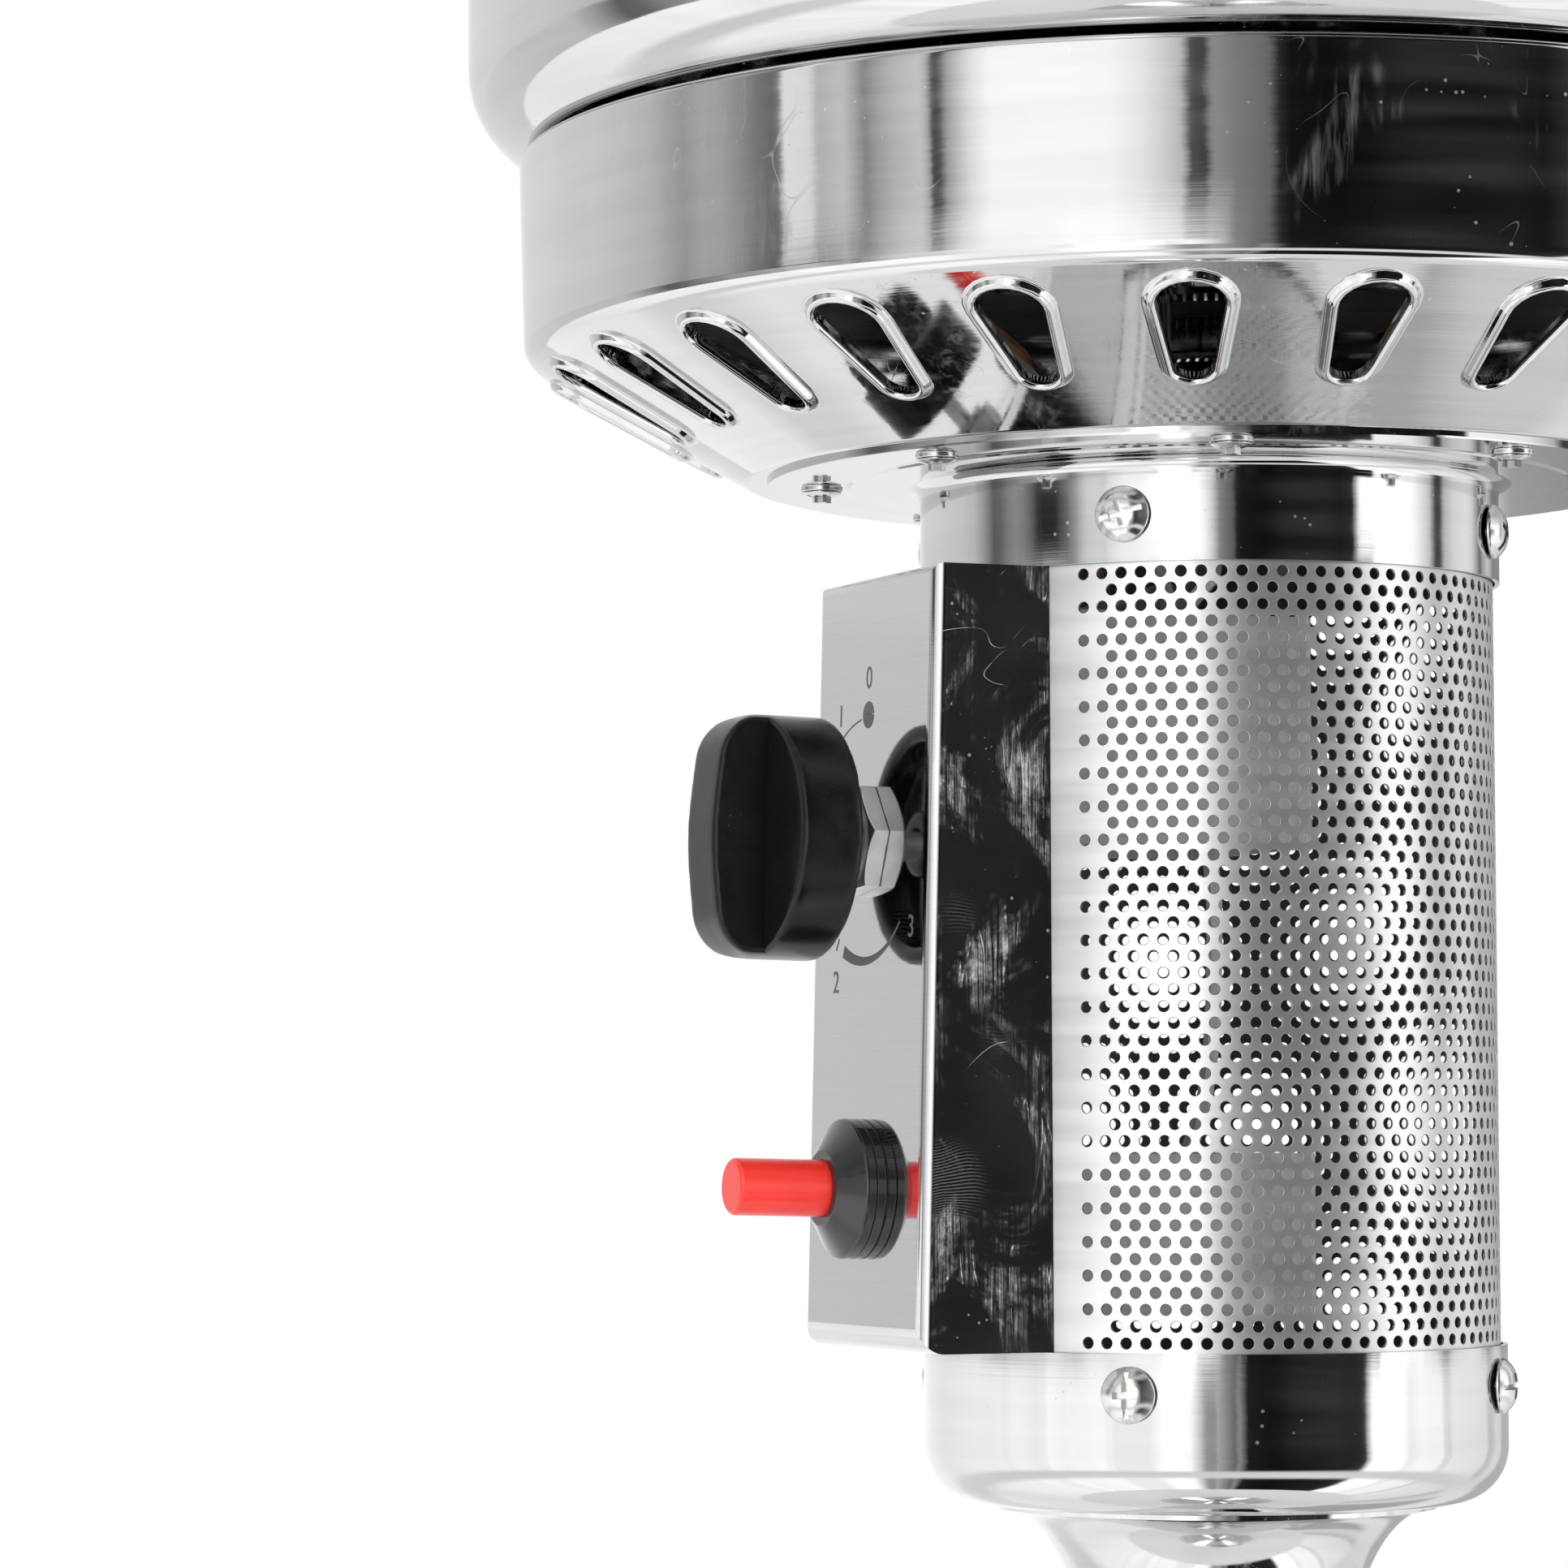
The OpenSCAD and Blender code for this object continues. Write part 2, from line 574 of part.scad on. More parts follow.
// Flared foot, cup, cover and collar
flare_t = 1.2;
flare_bore = post_r + fit;
flare_a = flare_r - flare_bore - flare_t;
flare_steps = 10;
function flare_curve(extra, last) = [for (k = [0 : flare_steps])
    [flare_r - (flare_a + extra) * cos(last * k / flare_steps),
     flare_top_z - flare_plate - flare_h + (flare_h + extra) * sin(last * k / flare_steps)]];
foot_bore = post_r - 3 * post_t;
foot_bolt_at = (flare_r + foot_bore) / 2;
module foot_bolt_holes(r) translate([0, 0, flare_top_z]) round_about(3, 30)
    translate([foot_bolt_at, 0, -3 * flare_plate])
    cylinder(r = r, h = 6 * flare_plate);
module flared_foot() color("silver") difference() {
    rotate_extrude() polygon(concat(flare_curve(0, 90),
        [[flare_r, flare_top_z], [foot_bore, flare_top_z], [foot_bore, flare_top_z - flare_plate]],
        reversed(flare_curve(flare_t, asin(flare_h / (flare_h + flare_t))))));
    foot_bolt_holes(bolt_r / 2 + fit);
}
module foot_bolts() color("gray") translate([0, 0, flare_top_z + cup_t]) round_about(3, 30)
    translate([foot_bolt_at, 0, 0]) pan_screw(bolt_r, bolt_r / 2, cup_t + flare_plate + 2 * flare_t);
module side_screw_holes(z, r) translate([0, 0, head_z + z]) round_about(4, 45 + head_turn)
    translate([cup_r - 4 * cup_t, 0, 0]) rotate([0, 90, 0]) cylinder(r = r, h = 8 * cup_t);
module side_screws(z) color("gray") translate([0, 0, head_z + z]) round_about(4, 45 + head_turn)
    translate([cup_r, 0, 0]) rotate([0, 90, 0]) pan_screw(screw_head_r, screw_r, 5 * cup_t);
module lower_cup() color("silver") difference() {
    spun([[foot_bore, flare_top_z], [cup_r, flare_top_z, cup_round], [cup_r, head_z]], cup_t);
    side_screw_holes(-lower_screw_z, screw_r + fit);
    foot_bolt_holes(bolt_r / 2 + fit);
}
module cup_screws() side_screws(-lower_screw_z);
module collar_screws() side_screws(cover_h + upper_screw_z);

row_pitch = hole_pitch * sin(60);
cover_margin = 3;
hole_rows = floor((cover_h - 2 * cover_margin - 2 * hole_r) / row_pitch);
row_start = (cover_h - hole_rows * row_pitch) / 2;
// Half the angle that the control box takes up on the cover, with its plain strips
blank_angle = asin((box_w / 2 + cover_margin + hole_r) / cover_r);
hole_step = 360 * hole_pitch / (2 * PI * cover_r);
hole_columns = floor((360 - 2 * blank_angle) / hole_step);
hole_first = -90 + blank_angle + (360 - 2 * blank_angle - hole_columns * hole_step) / 2;
module perforated_cover() color("lightgray") on_head() difference() {
    translate([0, 0, -cover_lap]) ring(cover_r, cover_r - cover_t, cover_h + 2 * cover_lap, $fn = 96);
    translate([-box_w / 2 + box_bend, -2 * cover_r, cover_margin])
        cube([box_w - 2 * box_bend, 2 * cover_r, cover_h - 2 * cover_margin]);
    for (j = [0 : hole_rows]) for (i = [0 : hole_columns - j % 2])
        rotate([0, 0, hole_first + (i + j % 2 / 2) * hole_step])
            translate([cover_r - 3 * cover_t, 0, row_start + j * row_pitch]) rotate([0, 90, 0])
                cylinder(r = hole_r, h = 6 * cover_t, $fn = 16);
    translate([0, 0, -head_z]) side_screw_holes(-lower_screw_z, screw_r + fit);
    translate([0, 0, -head_z]) side_screw_holes(cover_h + upper_screw_z, screw_r + fit);
}

panel_top_y = panel_y - cover_h * tan(panel_lean);
box_plan = [[-box_w / 2, panel_y], [-box_w / 2, 0, box_bend], [box_w / 2, 0, box_bend], [box_w / 2, panel_y]];
box_profile = [[-cover_r / 2, 0], [-panel_y, 0, box_foot_bend], [-panel_top_y, cover_h, box_bend],
    [-cover_r / 2, cover_h]];
module box_solid(inset) intersection() {
    translate([0, -panel_y, 0]) rotate([-panel_lean, 0, 0]) translate([0, 0, -panel_y])
        linear_extrude(cover_h + 2 * panel_y) polygon(side(bent(box_plan), inset));
    rotate([90, 0, 90]) translate([0, 0, -box_w]) linear_extrude(2 * box_w)
        polygon(side(bent(box_profile), -inset));
}
valve_hole_r = neck_thread_r + fit;
sleeve_hole_r = sleeve_r + fit;
module control_box() color("silver") difference() {
    on_head() box_solid(0);
    on_head() box_solid(box_t);
    on_head() translate([0, 0, -over]) cylinder(r = cover_r + fit, h = cover_h + 2 * over, $fn = 96);
    control(valve_s) translate([0, 0, -over - box_t]) cylinder(r = valve_hole_r, h = 2 * over + box_t);
    control(igniter_s) translate([0, 0, -over - box_t]) cylinder(r = sleeve_hole_r, h = 2 * over + box_t);
}

collar_z = head_z + cover_h;
flange_low_z = collar_z + collar_h;
bowl_z = flange_low_z + cup_t;
collar_round = 2.5;
flange_washer_h = 0.9;
flange_washer_r = 3.65;
flange_head_r = 3.4;
flange_screw_r = 2;
flange_hole_r = flange_screw_r + fit;
module flange_screw_holes(z, h) round_about(flange_screw_count, 22.5 - head_turn)
    translate([flange_screw_circle, 0, z]) cylinder(r = flange_hole_r, h = h);
module upper_collar() color("silver") difference() {
    spun([[cup_r, collar_z], [cup_r, flange_low_z - collar_step, collar_round],
        [collar_step_r, flange_low_z - collar_step],
        [collar_step_r + 2 * collar_step, flange_low_z], [collar_flange_r, flange_low_z]], cup_t);
    side_screw_holes(cover_h + upper_screw_z, screw_r + fit);
    flange_screw_holes(flange_low_z - over, cup_t + 2 * over);
}
module flange_screws() color("gray") round_about(flange_screw_count, 22.5 - head_turn)
    translate([flange_screw_circle, 0, flange_low_z]) mirror([0, 0, 1]) {
        cylinder(r = flange_washer_r, h = flange_washer_h);
        translate([0, 0, flange_washer_h]) pan_screw(flange_head_r, flange_screw_r,
            flange_washer_h + 4 * cup_t);
    }

// Burner bowl with its ring of slots
slope_angle = atan(bowl_slope_h / (bowl_r - bowl_floor_r));
corner_z = bowl_z + bowl_slope_h;
floor_round = 3;
slope_round = 4;
band_round = 1.5;
tray_z = corner_z + bowl_band_h;
bowl_flange = 16;
tray_screw_edge = 6.2;
tray_screw_at = bowl_r - bowl_flange + tray_screw_edge;
// Outline of a slot: an arc at each end and the straight sides that touch both
outer_steps = 10;
inner_steps = 6;
slot_taper = asin((slot_outer_r - slot_inner_r) / slot_len);
function arc(x, r, from, to, steps) = [for (k = [0 : steps]) let (a = from + (to - from) * k / steps)
    [x + r * cos(a), r * sin(a)]];
function teardrop(grow) = concat(
    arc(slot_start + slot_len, slot_outer_r + grow, -90 - slot_taper, 90 + slot_taper, outer_steps),
    arc(slot_start, slot_inner_r + grow, 90 + slot_taper, 270 - slot_taper, inner_steps));
slot_first = -90 + head_turn;
module on_slope() round_about(slot_count, slot_first) translate([bowl_floor_r, 0, bowl_z])
    rotate([0, -slope_angle, 0]) children();
module burner_bowl() color("silver") difference() {
    union() {
        rotate([0, 0, slot_first + 180 / slot_count]) spun([[cup_r - 2 * cup_t, bowl_z],
            [bowl_floor_r, bowl_z, floor_round], [bowl_r, corner_z, slope_round],
            [bowl_r + bowl_draft, tray_z, band_round], [bowl_r - bowl_flange, tray_z]], bowl_t);
        on_slope() translate([0, 0, -rim_h]) linear_extrude(rim_h + bowl_t / 2) polygon(teardrop(rim_w));
    }
    on_slope() translate([0, 0, -2 * rim_h]) linear_extrude(4 * rim_h + bowl_t) polygon(teardrop(0));
    flange_screw_holes(bowl_z - over, bowl_t + 2 * over);
    tray_screw_holes();
}

// Tray above the bowl
tray_screw_r = 2;
tray_screw_head_r = 3.6;
module tray_screw_holes() round_about(6, 15) translate([tray_screw_at, 0, tray_z - 3 * bowl_t])
    cylinder(r = tray_screw_r + fit, h = 6 * bowl_t);
module bowl_tray() color("silver") {
    difference() {
        spun([[tray_bore, tray_z], [tray_r, tray_z, tray_round], [tray_r, tray_z + tray_h]], bowl_t);
        tray_screw_holes();
    }
    translate([0, 0, tray_z + tray_h]) rotate_extrude($fn = 96) translate([tray_r - tray_bead, 0])
        difference() {
        circle(r = tray_bead);
        circle(r = tray_bead - bowl_t);
    }
}
module tray_screws() color("gray") round_about(6, 15) translate([tray_screw_at, 0, tray_z + bowl_t])
    pan_screw(tray_screw_head_r, tray_screw_r, 5 * bowl_t);

// Burner
burner_z = tray_z + bowl_t;
venturi_mouth_r = 22;
venturi_throat_r = 14;
venturi_dish_r = 70;
venturi_gap = 9;
venturi_bell = 12;
venturi_throat = 14;
venturi_rim = 8;
venturi_round = 5;
venturi_low_z = bowl_z + venturi_gap;
venturi_t = 1;
module venturi_tube() color("silver") spun([[venturi_mouth_r, venturi_low_z],
    [venturi_throat_r, venturi_low_z + venturi_bell, venturi_round],
    [venturi_throat_r, venturi_low_z + venturi_bell + venturi_throat, venturi_round],
    [venturi_dish_r, burner_z - venturi_rim, venturi_round], [venturi_dish_r, burner_z]], venturi_t);
// Rings of ports: share of the dish's radius and count
port_ring_shares = [[0.3, 12], [0.55, 20], [0.8, 28]];
pilot_y = -84;
pilot_window = [26, 9];
module burner_plate() color("dimgray") difference() {
    translate([0, 0, burner_z]) cylinder(r = burner_r, h = burner_t, $fn = 96);
    for (row = port_ring_shares) round_about(row[1]) translate([row[0] * venturi_dish_r, 0, burner_z - over])
        cylinder(r = port_r, h = burner_t + 2 * over, $fn = 16);
    translate([-pilot_window[0] / 2, pilot_y - pilot_window[1] / 2, burner_z - over])
        cube([pilot_window[0], pilot_window[1], burner_t + 2 * over]);
}

// Emitter
emitter_z = burner_z + burner_t;
emitter_top_z = emitter_z + emitter_h;
emitter_row = emitter_pitch * sin(60);
emitter_rows = floor((emitter_h - 2 * cap_skirt - 2 * emitter_hole_r) / emitter_row);
emitter_columns = floor(2 * PI * emitter_r / emitter_pitch);
emitter_start = (emitter_h - cap_skirt - emitter_rows * emitter_row) / 2;
module emitter_screen() color("dimgray") difference() {
    translate([0, 0, emitter_z]) ring(emitter_r, emitter_r - emitter_t, emitter_h, $fn = 96);
    for (j = [0 : emitter_rows]) round_about(emitter_columns, (1 + 2 * (j % 2)) * 90 / emitter_columns)
        translate([emitter_r - 3 * emitter_t, 0, emitter_z + emitter_start + j * emitter_row])
            rotate([0, 90, 0])
            cylinder(r = emitter_hole_r, h = 6 * emitter_t, $fn = 16);
}
cap_z = emitter_top_z + emitter_t;
cap_r = emitter_r + fit + emitter_t;
cap_round = fit + emitter_t;
module emitter_cap() color("silver")
    spun([[cap_r, emitter_top_z - cap_skirt], [cap_r, cap_z, cap_round], [0, cap_z]], emitter_t);

// Reflector on its studs
reflector_r = reflector_d / 2;
reflector_z = cap_z + stud_len;
stud_r = 6;
stud_thread_r = 3;
stud_hole_r = stud_thread_r + fit;
stud_count = 3;
thread_len = 14;
module on_studs() round_about(stud_count, -90) translate([stud_circle_r, 0, 0]) children();
module reflector_studs() color("gray") on_studs() {
    translate([0, 0, cap_z]) hexagon(2 * stud_r, stud_len);
    translate([0, 0, reflector_z]) cylinder(r = stud_thread_r, h = thread_len);
}
reflector_edge_r = reflector_r - reflector_bead - reflector_t / 2;
reflector_round = 10;
module reflector() color("lightgray") {
    difference() {
        spun([[reflector_edge_r, reflector_z - reflector_fall - reflector_edge],
            [reflector_edge_r, reflector_z - reflector_fall, reflector_round],
            [reflector_flat_r, reflector_z, reflector_round], [0, reflector_z]], -reflector_t);
        on_studs() translate([0, 0, reflector_z - over]) cylinder(r = stud_hole_r,
            h = reflector_t + 2 * over);
    }
    translate([0, 0, reflector_z - reflector_fall - reflector_edge]) rotate_extrude($fn = 96)
        translate([reflector_r - reflector_bead, 0]) circle(r = reflector_bead);
}
wing_w = 26;
wing_h = 11;
wing_t = 2.5;
// Half outline of the wings as shares of their width and height
wing_shares = [[0.18, 0.06], [0.36, 0.38], [0.5, 0.9], [0.42, 1], [0.3, 0.8], [0.18, 0.5]];
module wing_nuts() color("gray") on_studs() translate([0, 0, reflector_z + reflector_t]) difference() {
    union() {
        cylinder(r1 = wing_w / 4, r2 = wing_w / 5, h = wing_h / 2);
        rotate([90, 0, 0]) translate([0, 0, -wing_t / 2]) linear_extrude(wing_t) polygon(concat(
            [for (q = wing_shares) [q[0] * wing_w, q[1] * wing_h]],
            [for (q = reversed(wing_shares)) [-q[0] * wing_w, q[1] * wing_h]]));
    }
    translate([0, 0, -over]) cylinder(r = stud_thread_r + fit / 2, h = wing_h + 2 * over);
}

// Gas valve: z = 0 of its frame is the panel's outer face
neck_over = 1;
valve_neck = nut_h + neck_over;
valve_cavity_r = 5.2;
valve_cavity_z = -24;
valve_w = 28;
valve_d = 30;
shoulder_h = 3;
shoulder_r = 11;
valve_block_z = -box_t - shoulder_h;
valve_end_z = valve_block_z - valve_d;
boss_len = 6;
boss_r = 6;
pilot_boss_r = 3.5;
socket_depth = 3;
pipe_r = 4;
pilot_r = 2;
thermo_r = 1.6;
lead_r = 1.5;
// Places of the two outlets on top of the valve: across and depth
gas_out = [0, -18];
pilot_out = [9, -29];
thermo_out = [-8, 4];
module outlet(at, r, bore) translate([at[0], valve_w / 2, at[1]]) rotate([-90, 0, 0]) {
    if (bore == 0) translate([0, 0, -over]) cylinder(r = r, h = boss_len + over);
    else translate([0, 0, boss_len - socket_depth]) cylinder(r = bore, h = socket_depth + over);
}
module gas_valve() color("darkgray") control(valve_s) difference() {
    union() {
        translate([0, 0, valve_block_z]) cylinder(r = neck_thread_r, h = valve_neck - valve_block_z);
        translate([0, 0, valve_block_z - over]) cylinder(r = shoulder_r, h = shoulder_h + over);
        translate([-valve_w / 2, -valve_w / 2, valve_end_z]) cube([valve_w, valve_w, valve_d]);
        translate([thermo_out[0], thermo_out[1], valve_end_z - boss_len])
            cylinder(r = pilot_boss_r, h = boss_len + over);
        outlet(gas_out, boss_r, 0);
        outlet(pilot_out, pilot_boss_r, 0);
    }
    translate([0, 0, valve_cavity_z]) cylinder(r = valve_cavity_r, h = valve_neck - valve_cavity_z + over);
    outlet(gas_out, boss_r, pipe_r + fit);
    outlet(pilot_out, pilot_boss_r, pilot_r + fit);
    translate([thermo_out[0], thermo_out[1], valve_end_z - boss_len - over])
        cylinder(r = thermo_r + fit, h = socket_depth + over);
}
knob_travel = 4;
spindle_z = -16;
flat_share = 0.7;
driver_top = -8;
driver_gap = 0.3;
spindle_grip = 14;
spindle_top = knob_gap + spindle_grip;
module d_bar(r, z, h) intersection() {
    translate([0, 0, z]) cylinder(r = r, h = h);
    translate([-2 * r, -2 * r, z]) cube([4 * r, 2 * r + spindle_r * flat_share + r - spindle_r, h]);
}
module valve_driver() color("goldenrod") control(valve_s) difference() {
    translate([0, 0, valve_cavity_z + driver_gap])
        cylinder(r = valve_cavity_r - run, h = driver_top - valve_cavity_z - driver_gap);
    d_bar(spindle_r + run, spindle_z - knob_travel - over, driver_top - spindle_z + knob_travel + 2 * over);
}
nut_chamfer = 0.8;
module valve_nut() color("silver") control(valve_s) difference() {
    rotate([0, 0, nut_turn]) intersection() {
        hexagon(nut_af, nut_h);
        rotate_extrude() polygon([[0, 0], [nut_af / 2 + 2 * nut_chamfer, 0],
            [nut_af / 2 + 2 * nut_chamfer, nut_h - nut_chamfer], [nut_af / 2, nut_h], [0, nut_h]]);
    }
    translate([0, 0, -over]) cylinder(r = neck_thread_r + fit / 2, h = nut_h + 2 * over);
}
module valve_spindle() color("silver") control(valve_s) d_bar(spindle_r, spindle_z, spindle_top - spindle_z);

knob_front = knob_gap + knob_depth;
face_z = knob_gap + knob_skirt;
grip_z = face_z + knob_rise;
hub_r_knob = 6;
knob_wall = 3.4;
knob_cavity = 6;
grip_bow = 2.2;
crease_round = 1.4;
scoop_round = 6;
scoop_run = 4;
face_crown = 0.6;
// Outline of the knob seen across its grip, with a slightly bowed front
grip_profile = [[-knob_r, knob_gap], [-knob_r, knob_front - grip_bow, grip_round], [0, knob_front],
    [knob_r, knob_front - grip_bow, grip_round], [knob_r, knob_gap]];
// What is scooped out beside the grip
scoop_profile = [[grip_w / 2, knob_front + over], [grip_w / 2, grip_z, crease_round],
    [knob_r - scoop_run, face_z + face_crown, scoop_round], [knob_r + over, face_z - face_crown],
    [knob_r + over, knob_front + over]];
module control_knob() color([0.06, 0.06, 0.06]) control(valve_s) difference() {
    intersection() {
        translate([0, 0, knob_gap]) cylinder(r = knob_r, h = knob_depth + over, $fn = 96);
        rotate([90, 0, 90]) translate([0, 0, -knob_r - over]) linear_extrude(2 * knob_r + 2 * over)
            polygon(bent(grip_profile));
    }
    for (turn = [0, 180]) rotate([0, 0, turn]) rotate([90, 0, 0]) translate([0, 0, -knob_r - over])
        linear_extrude(2 * knob_r + 2 * over) polygon(bent(scoop_profile));
    translate([0, 0, knob_gap - over]) ring(knob_r - knob_wall, hub_r_knob, knob_cavity + over);
    d_bar(spindle_r + fit / 4, knob_gap - over, spindle_top - knob_gap + over + fit / 4);
}
inlet_af = 14;
inlet_hex_h = 8;
inlet_r = 4.5;
inlet_len = 16;
module inlet_fitting() color("goldenrod") control(valve_s) translate([0, -valve_w / 2, gas_out[1]])
    rotate([90, 0, 0]) {
        hexagon(inlet_af, inlet_hex_h);
        cylinder(r = inlet_r, h = inlet_hex_h + inlet_len);
    }

// Igniter
sleeve_len = 18;
igniter_bore = button_r + run;
igniter_nut_h = 4;
igniter_nut_af = 22;
button_tail = 22;
button_room = 8;
button_round = 1;
bezel_lip = 1.2;
terminal_r = 3;
terminal_len = 3;
module igniter_bezel() color([0.06, 0.06, 0.07]) control(igniter_s) rotate_extrude() polygon([
    [igniter_bore, -sleeve_len], [sleeve_r, -sleeve_len], [sleeve_r, 0], [bezel_r, 0], [bezel_r, bezel_rim],
    [button_r + bezel_lip, bezel_rim + bezel_cone], [igniter_bore, bezel_rim + bezel_cone]]);
module igniter_nut() color([0.1, 0.1, 0.1]) control(igniter_s) translate([0, 0, -box_t - igniter_nut_h])
    difference() {
        hexagon(igniter_nut_af, igniter_nut_h);
        translate([0, 0, -over]) cylinder(r = sleeve_r + fit, h = igniter_nut_h + 2 * over);
    }
module igniter_body() color("dimgray") control(igniter_s) difference() {
    union() {
        translate([0, 0, -igniter_len]) cylinder(r = sleeve_r, h = igniter_len - sleeve_len);
        translate([0, 0, -igniter_len - terminal_len]) cylinder(r = terminal_r, h = terminal_len + over);
    }
    translate([0, 0, -button_tail - button_room]) cylinder(r = igniter_bore, h = button_tail + button_room);
}
button_top = bezel_rim + bezel_cone + button_len;
module igniter_button() color([0.9, 0.12, 0.1]) control(igniter_s) rotate_extrude() polygon(bent([
    [0, -button_tail], [button_r, -button_tail], [button_r, button_top, button_round], [0, button_top]]));

// Pilot group on the burner plate: across places of the pilot, the thermocouple and the electrode
pilot_x = 2;
thermo_x = -6;
spark_x = 10;
bracket_len = 40;
bracket_depth = 14;
bracket_plate = 1.5;
pilot_hood_r = 4.5;
pilot_h = 16;
pilot_bore = 1;
hood_depth = 8;
thermo_up = 24;
spark_base_r = 2.6;
spark_base_h = 12;
spark_wire_r = 0.9;
spark_h = 20;
spark_reach = 8;
module pilot_burner() color("dimgray") translate([0, pilot_y, emitter_z]) difference() {
    union() {
        translate([-bracket_len / 2, -bracket_depth / 2, 0]) cube([bracket_len, bracket_depth,
            bracket_plate]);
        translate([pilot_x, 0, 0]) cylinder(r = pilot_hood_r, h = pilot_h);
    }
    translate([pilot_x, 0, -over]) cylinder(r = pilot_r + fit, h = over + 2 * bracket_plate);
    translate([pilot_x, 0, pilot_h - hood_depth]) cylinder(r = pilot_hood_r - bracket_plate,
        h = hood_depth + over);
    translate([pilot_x, 0, 0]) cylinder(r = pilot_bore, h = pilot_h);
    translate([thermo_x, 0, -over]) cylinder(r = thermo_r + fit, h = bracket_plate + 2 * over);
    translate([spark_x, 0, -over]) cylinder(r = lead_r + fit, h = bracket_plate + 2 * over);
}
module spark_electrode() color("white") translate([spark_x, pilot_y, emitter_z + bracket_plate])
    difference() {
    union() {
        cylinder(r = spark_base_r, h = spark_base_h);
        cylinder(r = spark_wire_r, h = spark_h);
        translate([0, 0, spark_h - spark_wire_r]) rotate([0, -75, 0]) cylinder(r = spark_wire_r,
            h = spark_reach);
    }
    translate([0, 0, -over]) cylinder(r = lead_r + fit, h = spark_base_h / 4 + over);
}

// Pipes and leads inside the head, each a chain of curves between the pieces that it joins
jet_gap = 5;
jet_hex = 7;
jet_len = 13;
jet_r = 4.8;
jet_bore = 2;
jet_z = bowl_z - jet_gap;
curve_steps = 9;
function at_control(s, p) = let (y = -p[2], z = s + p[1]) [control_x + p[0],
    y * cos(panel_lean) + z * sin(panel_lean) - panel_y, head_z + z * cos(panel_lean) - y * sin(panel_lean)];
function curve(a, u, b, v) = [for (k = [0 : curve_steps]) let (t = k / curve_steps, w = 1 - t)
    w * w * w * a + 3 * w * w * t * (a + u) + 3 * w * t * t * (b - v) + t * t * t * b];
function tail(pts) = [for (i = [1 : len(pts) - 1]) pts[i]];
function up(h) = [0, 0, h];
socket_y = valve_w / 2 + boss_len - socket_depth + fit;
gas_start = at_control(valve_s, [gas_out[0], socket_y, gas_out[1]]);
gas_end = [0, 0, jet_z + pipe_r - fit];
gas_bend = 25;
gas_route = concat([gas_start], curve(gas_start + up(pipe_r), up(gas_bend), gas_end - up(2 * pipe_r),
    up(gas_bend)), [gas_end]);
rise = 80;
drop = 30;
under_plate = burner_z - pipe_r;
pilot_start = at_control(valve_s, [pilot_out[0], socket_y, pilot_out[1]]);
pilot_foot = [pilot_x, pilot_y, under_plate];
pilot_route = concat([pilot_start], curve(pilot_start + up(pipe_r), up(rise), pilot_foot, up(drop)),
    [[pilot_x, pilot_y, emitter_z + 2 * bracket_plate - fit]]);
thermo_start = at_control(valve_s, [thermo_out[0], thermo_out[1], valve_end_z - boss_len + socket_depth -
    fit]);
thermo_out_len = 6;
thermo_back = thermo_start + [0, thermo_out_len, 0];
thermo_way = [0, 14, 36];
thermo_mid = thermo_start + thermo_way;
thermo_foot = [thermo_x, pilot_y, under_plate];
thermo_route = concat([thermo_start], curve(thermo_back, [0, thermo_out_len, 0], thermo_mid, up(drop / 2)),
    tail(curve(thermo_mid, up(rise), thermo_foot, up(drop))), [[thermo_x, pilot_y, emitter_z + thermo_up]]);
lead_start = at_control(igniter_s, [0, 0, -igniter_len - terminal_len - fit / 2]);
lead_way = [14, 12, 52];
lead_mid = lead_start + lead_way;
lead_foot = [spark_x, pilot_y, under_plate];
lead_route = concat(curve(lead_start, [0, 3 * thermo_out_len, 0], lead_mid, up(drop)),
    tail(curve(lead_mid, up(rise + drop), lead_foot, up(drop))),
    [[spark_x, pilot_y, emitter_z + bracket_plate + spark_base_h / 4 - fit]]);
module gas_pipe() color("darkgray") pipe(gas_route, pipe_r);
module pilot_tube() color("silver") pipe(pilot_route, pilot_r);
module thermocouple() color("goldenrod") pipe(thermo_route, thermo_r);
module igniter_lead() color("white") pipe(lead_route, lead_r);
module gas_jet() color("goldenrod") translate([0, 0, jet_z]) difference() {
    union() {
        hexagon(inlet_af, jet_hex);
        cylinder(r = jet_r, h = jet_len);
    }
    translate([0, 0, -over]) cylinder(r = pipe_r + fit, h = pipe_r + over);
    cylinder(r = jet_bore / 2, h = jet_len + over);
}

// Switch that shuts the gas off when the heater tips over
tilt_w = 16;
tilt_d = 20;
tilt_h = 14;
tilt_stud_r = 3;
module tilt_switch() color([0.15, 0.15, 0.15]) translate([-tilt_w / 2, foot_bore + fit,
    flare_top_z + cup_t]) difference() {
    cube([tilt_w, tilt_d, tilt_h]);
    translate([tilt_w / 2, tilt_d / 2, tilt_h - tilt_stud_r]) cylinder(r = tilt_stud_r,
        h = tilt_stud_r + over);
}

base_pan();
base_edging();
ballast_ring();
wheel_bracket();
bracket_bolts();
wheel_axle();
axle_caps();
wheel_left();
wheel_right();
post_leg_rear();
post_leg_left();
post_leg_right();
leg_bolts();
post_flange();
post_screws();
post_tube();
post_upper_tube();
cylinder_housing();
housing_top();
housing_grommet();
housing_screws();
flared_foot();
foot_bolts();
lower_cup();
cup_screws();
perforated_cover();
control_box();
upper_collar();
collar_screws();
flange_screws();
burner_bowl();
bowl_tray();
tray_screws();
venturi_tube();
burner_plate();
emitter_screen();
emitter_cap();
reflector_studs();
reflector();
wing_nuts();
gas_valve();
valve_driver();
valve_nut();
valve_spindle();
control_knob();
inlet_fitting();
gas_pipe();
gas_jet();
pilot_tube();
thermocouple();
pilot_burner();
